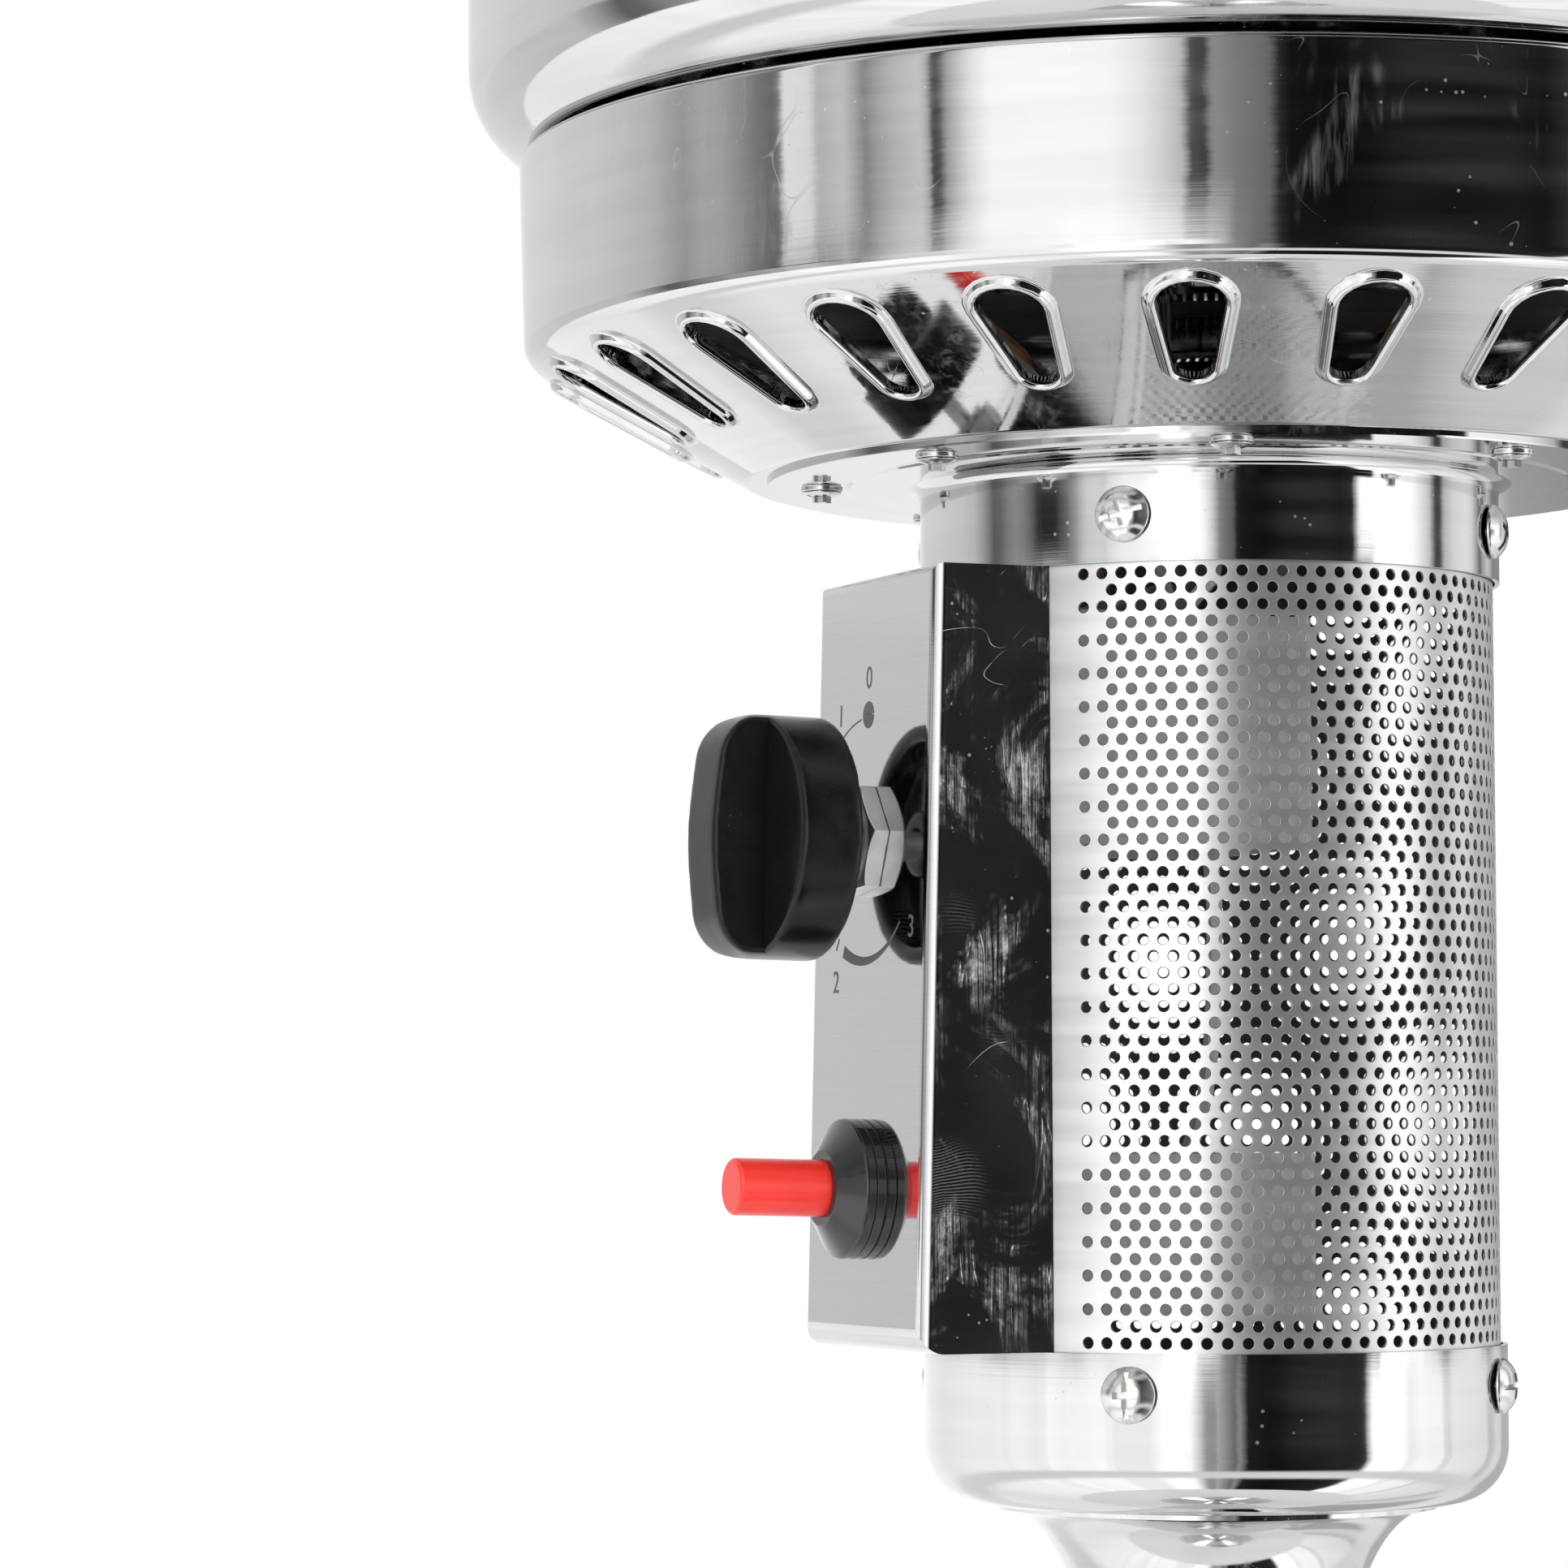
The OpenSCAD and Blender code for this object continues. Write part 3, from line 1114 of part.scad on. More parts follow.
spark_electrode();
igniter_lead();
igniter_body();
igniter_nut();
igniter_bezel();
igniter_button();
tilt_switch();
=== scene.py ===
"""Gas patio heater: finer visual pieces, materials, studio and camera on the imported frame."""
import bpy
import json
from math import asin, atan2, ceil, copysign, cos, degrees, pi, radians, sin, tan
import numpy as np
from mathutils import Matrix, Vector

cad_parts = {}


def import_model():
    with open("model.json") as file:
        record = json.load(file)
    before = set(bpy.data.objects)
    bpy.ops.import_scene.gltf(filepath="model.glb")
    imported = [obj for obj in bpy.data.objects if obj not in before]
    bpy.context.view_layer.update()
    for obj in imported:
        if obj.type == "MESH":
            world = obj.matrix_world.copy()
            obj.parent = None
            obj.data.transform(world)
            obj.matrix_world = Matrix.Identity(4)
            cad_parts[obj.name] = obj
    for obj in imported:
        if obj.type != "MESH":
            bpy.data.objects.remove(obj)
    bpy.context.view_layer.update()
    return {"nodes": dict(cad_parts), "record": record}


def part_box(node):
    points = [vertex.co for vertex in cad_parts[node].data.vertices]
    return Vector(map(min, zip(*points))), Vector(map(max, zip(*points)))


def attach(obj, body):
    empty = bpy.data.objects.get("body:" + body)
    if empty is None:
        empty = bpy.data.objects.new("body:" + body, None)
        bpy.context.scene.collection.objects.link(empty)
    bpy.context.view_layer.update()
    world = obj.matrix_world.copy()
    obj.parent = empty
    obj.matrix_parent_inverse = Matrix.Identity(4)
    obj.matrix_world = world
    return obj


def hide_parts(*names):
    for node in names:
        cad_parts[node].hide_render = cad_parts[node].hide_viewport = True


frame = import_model()

# Lengths are in millimetres until a piece is made. Heights of the head count from HEAD.
MM = 0.001
HEAD = 1690.0
COVER_R, COVER_T, COVER_H, COVER_LAP = 51.0, 0.6, 136.0, 12.0
CUP_R, CUP_T, CUP_H = 52.2, 0.8, 28.0
COLLAR_H, STEP = 18.4, 0.4
COLLAR_Z = HEAD + COVER_H
FLANGE_Z = COLLAR_Z + COLLAR_H
BOWL_Z = FLANGE_Z + CUP_T
BOWL_T = 0.9
FLOOR_R, BOWL_R, SLOPE_H = 83.6, 123.8, 22.5
CORNER_Z = BOWL_Z + SLOPE_H
TRAY_Z = CORNER_Z + 35.9
TRAY_R, TRAY_H, TRAY_BORE = 133.9, 44.0, 96.0
HEAD_TURN = 1.5
SLOTS = 24
CAP_R, CAP_Z, CAP_SKIRT = 104.2, 2156.7, 15
REFLECTOR_Z, REFLECTOR_EDGE_R, REFLECTOR_DROP, REFLECTOR_LIP, REFLECTOR_BEAD = 2196.7, 403, 88, 16, 3.0
TRAY_BEAD = 2.2
FLARE_RIM, FLARE_H, FLARE_REACH, FLARE_PLATE = 39.5, 29.6, 15.6, 1
BOX_W, BOX_T, BOX_BEND = 51.0, 0.8, 2.6
CONTROL_X, PANEL_Y, LEAN = -1.8, 69.5, radians(1.5)
KNOB_S, IGNITER_S = 89.0, 28.0


# Shapes
def unit(v):
    return v / np.linalg.norm(v)


def left_of(v):
    return np.array([-v[1], v[0]])


def turned(v, a):
    c, s = cos(a), sin(a)
    return np.array([v[0] * c - v[1] * s, v[0] * s + v[1] * c])


def stations(path, step=9.0):
    """Points along a path of (r, z) or (r, z, corner radius), each with the left normals before and after it and
    the way to its offset point."""
    pts = [np.array(p[:2], float) for p in path]
    out = []
    for i, p in enumerate(pts):
        before = unit(p - pts[i - 1]) if i else None
        after = unit(pts[i + 1] - p) if i < len(pts) - 1 else None
        r = path[i][2] if len(path[i]) > 2 else 0
        if before is None or after is None:
            n = left_of(after if before is None else before)
            out.append((p, n, n, n))
            continue
        a, b = left_of(before), left_of(after)
        if r == 0:
            out.append((p, a, b, (a + b) / (1 + a @ b)))
            continue
        turn = atan2(before[0] * after[1] - before[1] * after[0], before @ after)
        way = copysign(1, turn)
        centre = p - before * r * tan(abs(turn) / 2) + a * r * way
        steps = max(2, ceil(abs(degrees(turn)) / step))
        for k in range(steps + 1):
            n = turned(a, turn * k / steps)
            out.append((centre - n * r * way, n, n, n))
    return out


def closed(edges):
    """The edges of an outline, anticlockwise, with the missing normals square to their edges."""
    area = sum(p[0] * q[1] - p[1] * q[0] for p, q, _, _ in edges)
    if area < 0:
        edges = [(q, p, m, n) for p, q, n, m in reversed(edges)]
    full = []
    for p, q, n, m in edges:
        if np.linalg.norm(q - p) < 1e-7:
            continue
        square = -left_of(unit(q - p))
        full.append((p, q, square if n is None else n, square if m is None else m))
    return full


def sheet(path, t):
    """Outline of a sheet whose thickness lies to the left of its path, or to the right where t is negative."""
    s = stations(path)
    way = copysign(1, t)
    off = [q[0] + t * q[3] for q in s]
    steps = range(len(s) - 1)
    near = [(s[k][0], s[k + 1][0], -way * s[k][2], -way * s[k + 1][1]) for k in steps]
    far = [(off[k + 1], off[k], way * s[k + 1][1], way * s[k][2]) for k in reversed(steps)]
    return closed(near + [(near[-1][1], far[0][0], None, None)] + far + [(far[-1][1], near[0][0], None, None)])


def solid(path):
    """Outline of a turned solid, from its path up the outside."""
    s = stations(path)
    edges = [(s[k][0], s[k + 1][0], -s[k][2], -s[k + 1][1]) for k in range(len(s) - 1)]
    if path[0][0] > 0 or path[-1][0] > 0:
        edges.append((edges[-1][1], edges[0][0], None, None))
    return closed(edges)


def revolve(edges, n=192, first=0.0, last=360.0):
    """Corners and normals of an outline turned about the Z axis."""
    a = np.radians(np.linspace(first, last, n + 1))
    turn = np.stack([np.cos(a), np.sin(a)], 1)
    faces, normals = [], []
    for p, q, m, k in edges:
        ring = [np.concatenate([turn * v[0], np.full((n + 1, 1), v[1])], 1) for v in (p, q, m, k)]
        faces.append(np.stack([ring[0][:-1], ring[0][1:], ring[1][1:], ring[1][:-1]], 1))
        normals.append(np.stack([ring[2][:-1], ring[2][1:], ring[3][1:], ring[3][:-1]], 1))
    return [(np.concatenate(faces), np.concatenate(normals))]


def spokes(a):
    """Directions away from the axis, at angles in radians."""
    return np.stack([np.cos(a), np.sin(a), 0 * a], -1)


def moved(parts, matrix):
    """The same parts under a 4 x 4 matrix."""
    m = np.array(matrix)
    return [(f @ m[:3, :3].T + m[:3, 3], n @ m[:3, :3].T) for f, n in parts]


def finish_mesh(name, verts, faces, normals=None):
    mesh = bpy.data.meshes.new(name)
    mesh.from_pydata(verts, [], faces)
    mesh.shade_smooth()
    if normals is not None:
        mesh.normals_split_custom_set(normals)
    mesh.update()
    return mesh


def welded(name, parts):
    """A mesh from parts of faces in millimetres, welded to a micrometre."""
    corners = np.concatenate([f.reshape(-1, 3) for f, _ in parts])
    normals = np.concatenate([n.reshape(-1, 3) for _, n in parts])
    sizes = np.concatenate([np.full(len(f), f.shape[1]) for f, _ in parts])
    grid = np.round((corners + [1000, 1000, 10]) * 1000).astype(np.int64)
    keys = (grid[:, 0] << 42) | (grid[:, 1] << 22) | grid[:, 2]
    _, first, index = np.unique(keys, return_index=True, return_inverse=True)
    faces, kept, at = [], [], 0
    for size in sizes:
        loop = index[at:at + size]
        keep = [k for k in range(size) if loop[k] != loop[k - 1]]
        if len(keep) > 2:
            faces.append([int(loop[k]) for k in keep])
            kept += [at + k for k in keep]
        at += size
    lengths = np.linalg.norm(normals, axis=1, keepdims=True)
    return finish_mesh(name, (corners[first] * MM).tolist(), faces, (normals / lengths)[kept].tolist())


def placed(name, data):
    """A new object in the scene."""
    made = bpy.data.objects.new(name, data)
    bpy.context.scene.collection.objects.link(made)
    return made


def piece(name, mesh, body, slot, *nodes, look=None):
    """A visual piece on a body, standing for CAD nodes, with its slot's look or another one."""
    made = placed(name, mesh)
    mesh.materials.clear()
    mesh.materials.append(LOOKS[look or slot])
    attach(made, body)
    if nodes:
        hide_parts(*nodes)
    return made


def baked(holder):
    """The final mesh of an object, which is removed."""
    bpy.context.view_layer.update()
    mesh = bpy.data.meshes.new_from_object(holder.evaluated_get(bpy.context.evaluated_depsgraph_get()))
    bpy.data.objects.remove(holder)
    return mesh


def evaluated(mesh, *modifiers):
    """The mesh after modifiers, each (type, settings)."""
    holder = placed("holder", mesh)
    for kind, settings in modifiers:
        made = holder.modifiers.new(kind.lower(), kind)
        for key, value in settings.items():
            setattr(made, key, value)
    return baked(holder)


def carved(mesh, *others, operation="DIFFERENCE"):
    """The mesh with other meshes cut out of it, or joined to it by another operation."""
    holders = [placed("other", other) for other in others]
    result = evaluated(mesh, *[("BOOLEAN", dict(operation=operation, solver="EXACT", object=h)) for h in holders])
    for made in holders:
        bpy.data.objects.remove(made)
    return result


def block(a, b):
    """A box mesh between two corners, for cutting."""
    x, y, z = ([p, q] for p, q in zip(a, b))
    verts = [(x[i] * MM, y[j] * MM, z[k] * MM) for i in (0, 1) for j in (0, 1) for k in (0, 1)]
    faces = [(0, 1, 3, 2), (4, 6, 7, 5), (0, 4, 5, 1), (2, 3, 7, 6), (0, 2, 6, 4), (1, 5, 7, 3)]
    return finish_mesh("block", verts, faces)


def repeated(mesh, matrices):
    """One mesh of copies of a mesh, with each face's own shading kept."""
    co = np.empty(len(mesh.vertices) * 3)
    mesh.vertices.foreach_get("co", co)
    co = co.reshape(-1, 3)
    polys = [tuple(p.vertices) for p in mesh.polygons]
    sharp = [p.use_smooth for p in mesh.polygons]
    verts, faces = [], []
    for m in matrices:
        m = np.array(m)
        base = len(verts)
        verts += (co @ m[:3, :3].T + m[:3, 3]).tolist()
        faces += [tuple(v + base for v in p) for p in polys]
    made = finish_mesh(mesh.name + "_set", verts, faces)
    made.polygons.foreach_set("use_smooth", sharp * len(matrices))
    made.set_sharp_from_angle(angle=radians(35))
    return made


# Places
def about(axis, angle):
    return Matrix.Rotation(radians(angle), 4, axis)


def shift(x, y, z):
    return Matrix.Translation((x * MM, y * MM, z * MM))


def side_place(angle, z):
    """A place on the cup's wall, x along the wall's tangent, z pointing out of it."""
    return about("Z", angle) @ shift(CUP_R, 0, z) @ about("Y", 90) @ about("Z", 90)


def control_place(s):
    """A place on the panel, z pointing out of it and y up."""
    return shift(0, -PANEL_Y, HEAD) @ Matrix.Rotation(-LEAN, 4, "X") @ shift(CONTROL_X, 0, s) @ about("X", 90)


# Materials
class Nodes:
    """Short hand for a material's node tree."""

    def __init__(self, name):
        self.material = bpy.data.materials.new(name)
        self.material.use_nodes = True
        self.tree = self.material.node_tree
        self.tree.nodes.clear()
        self.out = self.add("OutputMaterial")

    def add(self, kind, inputs=None, **settings):
        node = self.tree.nodes.new("ShaderNode" + kind)
        for key, value in settings.items():
            setattr(node, key, value)
        for key, value in (inputs or {}).items():
            self.set(node.inputs[key], value)
        return node

    def set(self, socket, value):
        if isinstance(value, bpy.types.NodeSocket):
            self.tree.links.new(value, socket)
        else:
            socket.default_value = value

    def math(self, operation, *values):
        node = self.add("Math", operation=operation)
        for socket, value in zip(node.inputs, values):
            self.set(socket, value)
        return node.outputs[0]

    def chain(self, operation, first, *rest):
        for value in rest:
            first = self.math(operation, first, value)
        return first

    def times(self, *values):
        return self.chain("MULTIPLY", *values)

    def plus(self, *values):
        return self.chain("ADD", *values)

    def minus(self, a, b):
        return self.math("SUBTRACT", a, b)

    def vector(self, operation, inputs, output=0):
        return self.add("VectorMath", inputs, operation=operation).outputs[output]

    def noise(self, vector, scale, detail=2.0, rough=0.5, distortion=0.0):
        node = self.add("TexNoise", {"Vector": vector, "Scale": scale, "Detail": detail,
                                               "Roughness": rough, "Distortion": distortion})
        return node.outputs["Fac"]

    def ramp(self, value, low, high, out_low=0.0, out_high=1.0):
        node = self.add("MapRange", {"Value": value, "From Min": low, "From Max": high,
                                               "To Min": out_low, "To Max": out_high})
        node.interpolation_type = "SMOOTHSTEP"
        return node.outputs[0]

    def stretch(self, vector, x, y, z):
        return self.add("Mapping", {"Vector": vector, "Scale": (x, y, z)}).outputs[0]

    def blend(self, fac, a, b):
        node = self.add("Mix", data_type="RGBA")
        for key, value in ((0, fac), (6, a), (7, b)):
            self.set(node.inputs[key], value)
        return node.outputs[2]

    def bump(self, height, distance, strength=1.0, normal=None):
        node = self.add("Bump", {"Height": height, "Distance": distance, "Strength": strength})
        if normal is not None:
            self.set(node.inputs["Normal"], normal)
        return node.outputs[0]

    def finish(self, **inputs):
        names = {key.replace("_", " "): value for key, value in inputs.items()}
        shader = self.add("BsdfPrincipled", names)
        self.tree.links.new(shader.outputs[0], self.out.inputs[0])
        return self.material


def shade(c, k):
    return (*[min(1.0, v * k) for v in c], 1.0)


def film_of(n, at, smear, specks, scratches):
    """How much dust, smears and scratches cover a surface, from 0 to 1."""
    field = n.noise(at, 24.0, 4.0, 0.62, 0.8)
    streak = n.noise(n.stretch(at, 420, 420, 46), 1.0, 3.0, 0.7, 0.3)
    smears = n.times(n.ramp(field, 0.56, 0.7), n.ramp(streak, 0.44, 0.68), smear)
    dust = n.add("TexVoronoi", {"Vector": at, "Scale": 430.0, "Randomness": 1.0}).outputs["Distance"]
    size = n.ramp(n.noise(at, 90.0, 1.0), 0.5, 0.75, 0.0, 0.11)
    dots = n.times(n.ramp(n.minus(dust, size), 0.02, 0.05, 1.0, 0.0), specks)
    wisp = n.math("ABSOLUTE", n.minus(n.noise(n.stretch(at, 34, 34, 30), 1.0, 0.0, 0.5, 2.5), 0.5))
    lines = n.times(n.ramp(wisp, 0.0, 0.003, 1.0, 0.0), n.ramp(field, 0.52, 0.6), scratches)
    return n.math("MINIMUM", n.plus(smears, dots, lines), 1.0)


def steel(name, color, rough, lines=1500, sway=0.012, depth=0.5, smear=0.25, specks=0.3, scratches=0.25, wave=0.1,
          painted_inner_shade=None):
    """Spun sheet metal: rings of fine lines that sway a reflection sideways, smears, specks of dust and scratches,
    and, where a colour for the inner shade is given, painted shade: that dark colour on faces that look towards the
    axis, standing in for the shade inside the tube."""
    n = Nodes(name)
    at = n.add("TexCoord").outputs["Object"]
    xyz = n.add("SeparateXYZ", {0: at}).outputs
    radius = n.math("SQRT", n.plus(n.times(xyz[0], xyz[0]), n.times(xyz[1], xyz[1])))
    rings = n.add("CombineXYZ", {0: xyz[0], 1: xyz[1], 2: n.plus(radius, xyz[2])}).outputs[0]
    fine = n.noise(n.stretch(rings, 10, 10, lines), 1.0, 3.0, 0.6)
    broad = n.noise(n.stretch(rings, 14, 14, lines / 7), 1.0, 2.0)
    film = film_of(n, at, smear, specks, scratches)
    geometry = n.add("NewGeometry").outputs
    surface = geometry["Normal"]
    tangent = n.vector("CROSS_PRODUCT", {0: (0, 0, 1), 1: surface})
    push = n.times(n.minus(n.plus(n.times(fine, 0.45), n.times(broad, 0.55)), 0.5), sway * 2)
    swayed = n.vector("ADD", {0: surface, 1: n.vector("SCALE", {0: tangent, 3: push})})
    swayed = n.vector("NORMALIZE", {0: swayed})
    tint = n.blend(n.ramp(broad, 0.3, 0.7), shade(color, 0.965), shade(color, 1.03))
    tint = n.blend(film, tint, shade((0.62, 0.62, 0.62), 1.0))
    roughness = n.plus(rough, n.times(film, 0.4), n.ramp(broad, 0.3, 0.75, -0.015, 0.03))
    normal = n.bump(n.plus(n.times(fine, 0.5), broad), 0.00001 * depth, 1.0, swayed)
    if wave:
        normal = n.bump(n.noise(n.stretch(at, 1, 1, 0.35), 26.0, 1.0), 0.001 * wave, 1.0, normal)
    # Painted shade: faces that look towards the axis take the given dark colour, standing in for the shade inside the
    # tube, and are rougher.
    if painted_inner_shade is not None:
        along = n.vector("DOT_PRODUCT", {0: at, 1: geometry["True Normal"]}, "Value")
        upward = n.vector("DOT_PRODUCT", {0: (0, 0, 1), 1: geometry["True Normal"]}, "Value")
        inner_shade_mask = n.ramp(n.minus(along, n.times(xyz[2], upward)), -0.03, -0.02, 1.0, 0.0)
        tint = n.blend(inner_shade_mask, tint, shade(painted_inner_shade, 1.0))
        roughness = n.plus(roughness, n.times(inner_shade_mask, 0.25))
    return n.finish(Base_Color=tint, Metallic=n.minus(1.0, n.times(film, 0.6)), Roughness=roughness, Normal=normal)


def brushed(name, color, rough, lines=(14, 14, 2600), depth=0.5, smear=1.0, specks=0.3, scratches=1.0, prints=1.0,
            front=0.1):
    """Bent sheet with brushing across, greasy smears, fingerprints, rubbed patches and scratches, fewer in front."""
    n = Nodes(name)
    at = n.add("TexCoord").outputs["Object"]
    fine = n.noise(n.stretch(at, *lines), 1.0, 3.0, 0.65)
    film = film_of(n, at, 0.0, specks, scratches)
    patch = n.noise(at, 42.0, 5.0, 0.7, 1.2)
    rub = n.noise(n.stretch(at, 2600, 2600, 60), 1.0, 4.0, 0.75, 0.15)
    grain = n.noise(n.stretch(at, 700, 700, 700), 1.0, 3.0, 0.7)
    smears = n.times(n.ramp(patch, 0.47, 0.75), n.ramp(n.plus(n.times(rub, 0.75), n.times(grain, 0.25)), 0.42, 0.62))
    cells = n.add("TexVoronoi", {"Vector": at, "Scale": 46.0, "Randomness": 0.8}).outputs
    chance = n.add("SeparateColor", {0: cells["Color"]}).outputs[0]
    blob = n.times(n.ramp(cells["Distance"], 0.28, 0.46, 1.0, 0.0), n.ramp(chance, 0.45, 0.6))
    ridges = n.add("TexWave", {"Vector": at, "Scale": 560.0, "Distortion": 26.0, "Detail": 1.0, "Detail Scale": 0.16},
                   wave_type="RINGS").outputs["Fac"]
    marks = n.times(blob, n.ramp(ridges, 0.45, 0.8), 0.3 * prints)
    cuts = n.math("ABSOLUTE", n.minus(n.noise(n.stretch(at, 260, 260, 26), 1.0, 1.0, 0.5, 0.2), 0.5))
    cuts = n.times(n.ramp(cuts, 0.0, 0.008, 1.0, 0.0), n.ramp(patch, 0.5, 0.6), 0.6 * scratches)
    film = n.math("MINIMUM", n.plus(film, marks, cuts, n.times(smears, smear * 0.8)), 1.0)
    side = n.add("SeparateXYZ", {0: n.add("NewGeometry").outputs["True Normal"]}).outputs[0]
    film = n.times(film, n.ramp(n.math("ABSOLUTE", side), 0.5, 0.8, front, 1.0))
    haze = n.ramp(n.noise(at, 30.0, 3.0, 0.6), 0.4, 0.75, 0.0, 0.03)
    tint = n.blend(film, n.blend(n.ramp(fine, 0.3, 0.7), shade(color, 0.975), shade(color, 1.02)), (0.6, 0.6, 0.6, 1))
    return n.finish(Base_Color=tint, Metallic=n.minus(1.0, n.times(film, 0.75)),
                    Roughness=n.plus(rough, n.times(film, 0.45), haze), Normal=n.bump(fine, 0.00001 * depth))


def plain_metal(name, color, rough, grain=1400.0, depth=0.4, spots=0.15):
    """Cast, plated or drawn metal with a fine grain and slight stains."""
    n = Nodes(name)
    at = n.add("TexCoord").outputs["Object"]
    fine = n.noise(at, grain, 3.0, 0.6)
    stain = n.noise(at, 60.0, 4.0, 0.6)
    tint = n.blend(n.ramp(stain, 0.35, 0.7), shade(color, 1.0 + spots / 2), shade(color, 1.0 - spots))
    roughness = n.plus(n.ramp(stain, 0.3, 0.7, rough - 0.04, rough + 0.1), n.times(fine, 0.06))
    return n.finish(Base_Color=tint, Metallic=1.0, Roughness=roughness, Normal=n.bump(fine, 0.00002 * depth))


def moulded(name, color, rough, grain=2200.0, depth=1.0, dust=0.3, coat=0.0, gain=1.25, gloss=0.5):
    """Moulded plastic or rubber: fine texture, a little dust and uneven gloss."""
    n = Nodes(name)
    at = n.add("TexCoord").outputs["Object"]
    fine = n.noise(at, grain, 3.0, 0.6)
    patch = n.noise(at, 55.0, 4.0, 0.6, 0.5)
    cells = n.add("TexVoronoi", {"Vector": at, "Scale": 650.0}).outputs["Distance"]
    dots = n.times(n.ramp(cells, 0.03, 0.07, 1.0, 0.0), n.ramp(patch, 0.5, 0.65), dust)
    tint = n.blend(n.ramp(patch, 0.35, 0.65), shade(color, 1.0 / gain), shade(color, gain))
    tint = n.blend(dots, tint, (0.45, 0.45, 0.45, 1))
    roughness = n.plus(n.ramp(patch, 0.35, 0.7, rough - 0.05, rough + 0.07), n.times(fine, 0.06))
    return n.finish(Base_Color=tint, Roughness=roughness, Normal=n.bump(fine, 0.00002 * depth), Coat_Weight=coat,
                    Coat_Roughness=0.08, Specular_IOR_Level=gloss)


LOOKS = {
    "steel": steel("polished_steel", (0.60, 0.60, 0.605), 0.045),
    "panel": brushed("panel_steel", (0.58, 0.58, 0.585), 0.05, depth=0.25, smear=1.1),
    # The cover mesh's last colour, (0.12, 0.115, 0.11), is painted shade on its inner faces, for the shade inside the
    # tube.
    "mesh": steel("mesh_steel", (0.66, 0.66, 0.665), 0.3, 1900, 0.05, 1.0, 0.1, 0.1, 0.0, 0.0, (0.12, 0.115, 0.11)),
    "housing": steel("housing_steel", (0.60, 0.60, 0.605), 0.14, 1300, 0.02, 1.2, 0.3, 0.15, 0.2),
    "reflector": steel("spun_aluminium", (0.68, 0.68, 0.685), 0.13, 700, 0.02, 1.2, 0.15, 0.1, 0.1),
    "screw": plain_metal("nickel", (0.64, 0.635, 0.62), 0.17, 1800.0, 0.3, 0.1),
    "zinc": plain_metal("zinc_plate", (0.9, 0.9, 0.9), 0.36, 2400.0, 0.8, 0.12),
    "burner": plain_metal("burner_steel", (0.24, 0.23, 0.22), 0.45, 900.0, 1.0, 0.3),
    "emitter": steel("emitter_steel", (0.50, 0.47, 0.43), 0.3, 900, 0.03, 1.2, 0.2, 0.0, 0.0),
    "ballast": moulded("ballast_paint", (0.06, 0.06, 0.065), 0.5, 500.0, 6.0, 0.2),
    "brass": plain_metal("brass", (0.75, 0.57, 0.28), 0.25),
    "valve": plain_metal("die_cast", (0.62, 0.62, 0.63), 0.42, 700.0, 2.0, 0.15),
    "pipe": plain_metal("drawn_tube", (0.72, 0.72, 0.73), 0.25),
    "copper": plain_metal("copper", (0.78, 0.45, 0.3), 0.28),
    "knob": moulded("knob_black", (0.0035, 0.0035, 0.0038), 0.24, 1800.0, 0.3, 0.35, gloss=0.3),
    "bezel": moulded("bezel_black", (0.012, 0.012, 0.014), 0.12, 1200.0, 0.2, 0.2, 0.3),
    "button": moulded("button_red", (0.85, 0.025, 0.015), 0.3, 1500.0, 0.5, 0.05, 0.2, 1.06),
    "plastic": moulded("black_plastic", (0.03, 0.03, 0.032), 0.42),
    "ceramic": moulded("ceramic_white", (0.82, 0.81, 0.78), 0.2, 900.0, 0.4, 0.0, 0.3, 1.03),
    "lead": moulded("silicone_white", (0.78, 0.77, 0.74), 0.45, 900.0, 0.6, 0.0, 0.0, 1.03),
    "rubber": moulded("rubber_black", (0.022, 0.022, 0.022), 0.6, 700.0, 3.0, 0.3),
    "wheel": moulded("wheel_black", (0.03, 0.03, 0.031), 0.48, 900.0, 2.0, 0.3),
    "print": moulded("print_grey", (0.10, 0.10, 0.105), 0.5, 900.0, 0.3, 0.0, 0.0, 1.1),
}
slot_of = {p["node"]: p["material_slot"] for p in frame["record"]["subparts"]}
for node, made in frame["nodes"].items():
    made.data.materials.clear()
    made.data.materials.append(LOOKS[slot_of[node]])


def spun_piece(name, edges, slot, body, *nodes, n=192):
    return piece(name, welded(name, revolve(edges, n)), body, slot, *nodes)


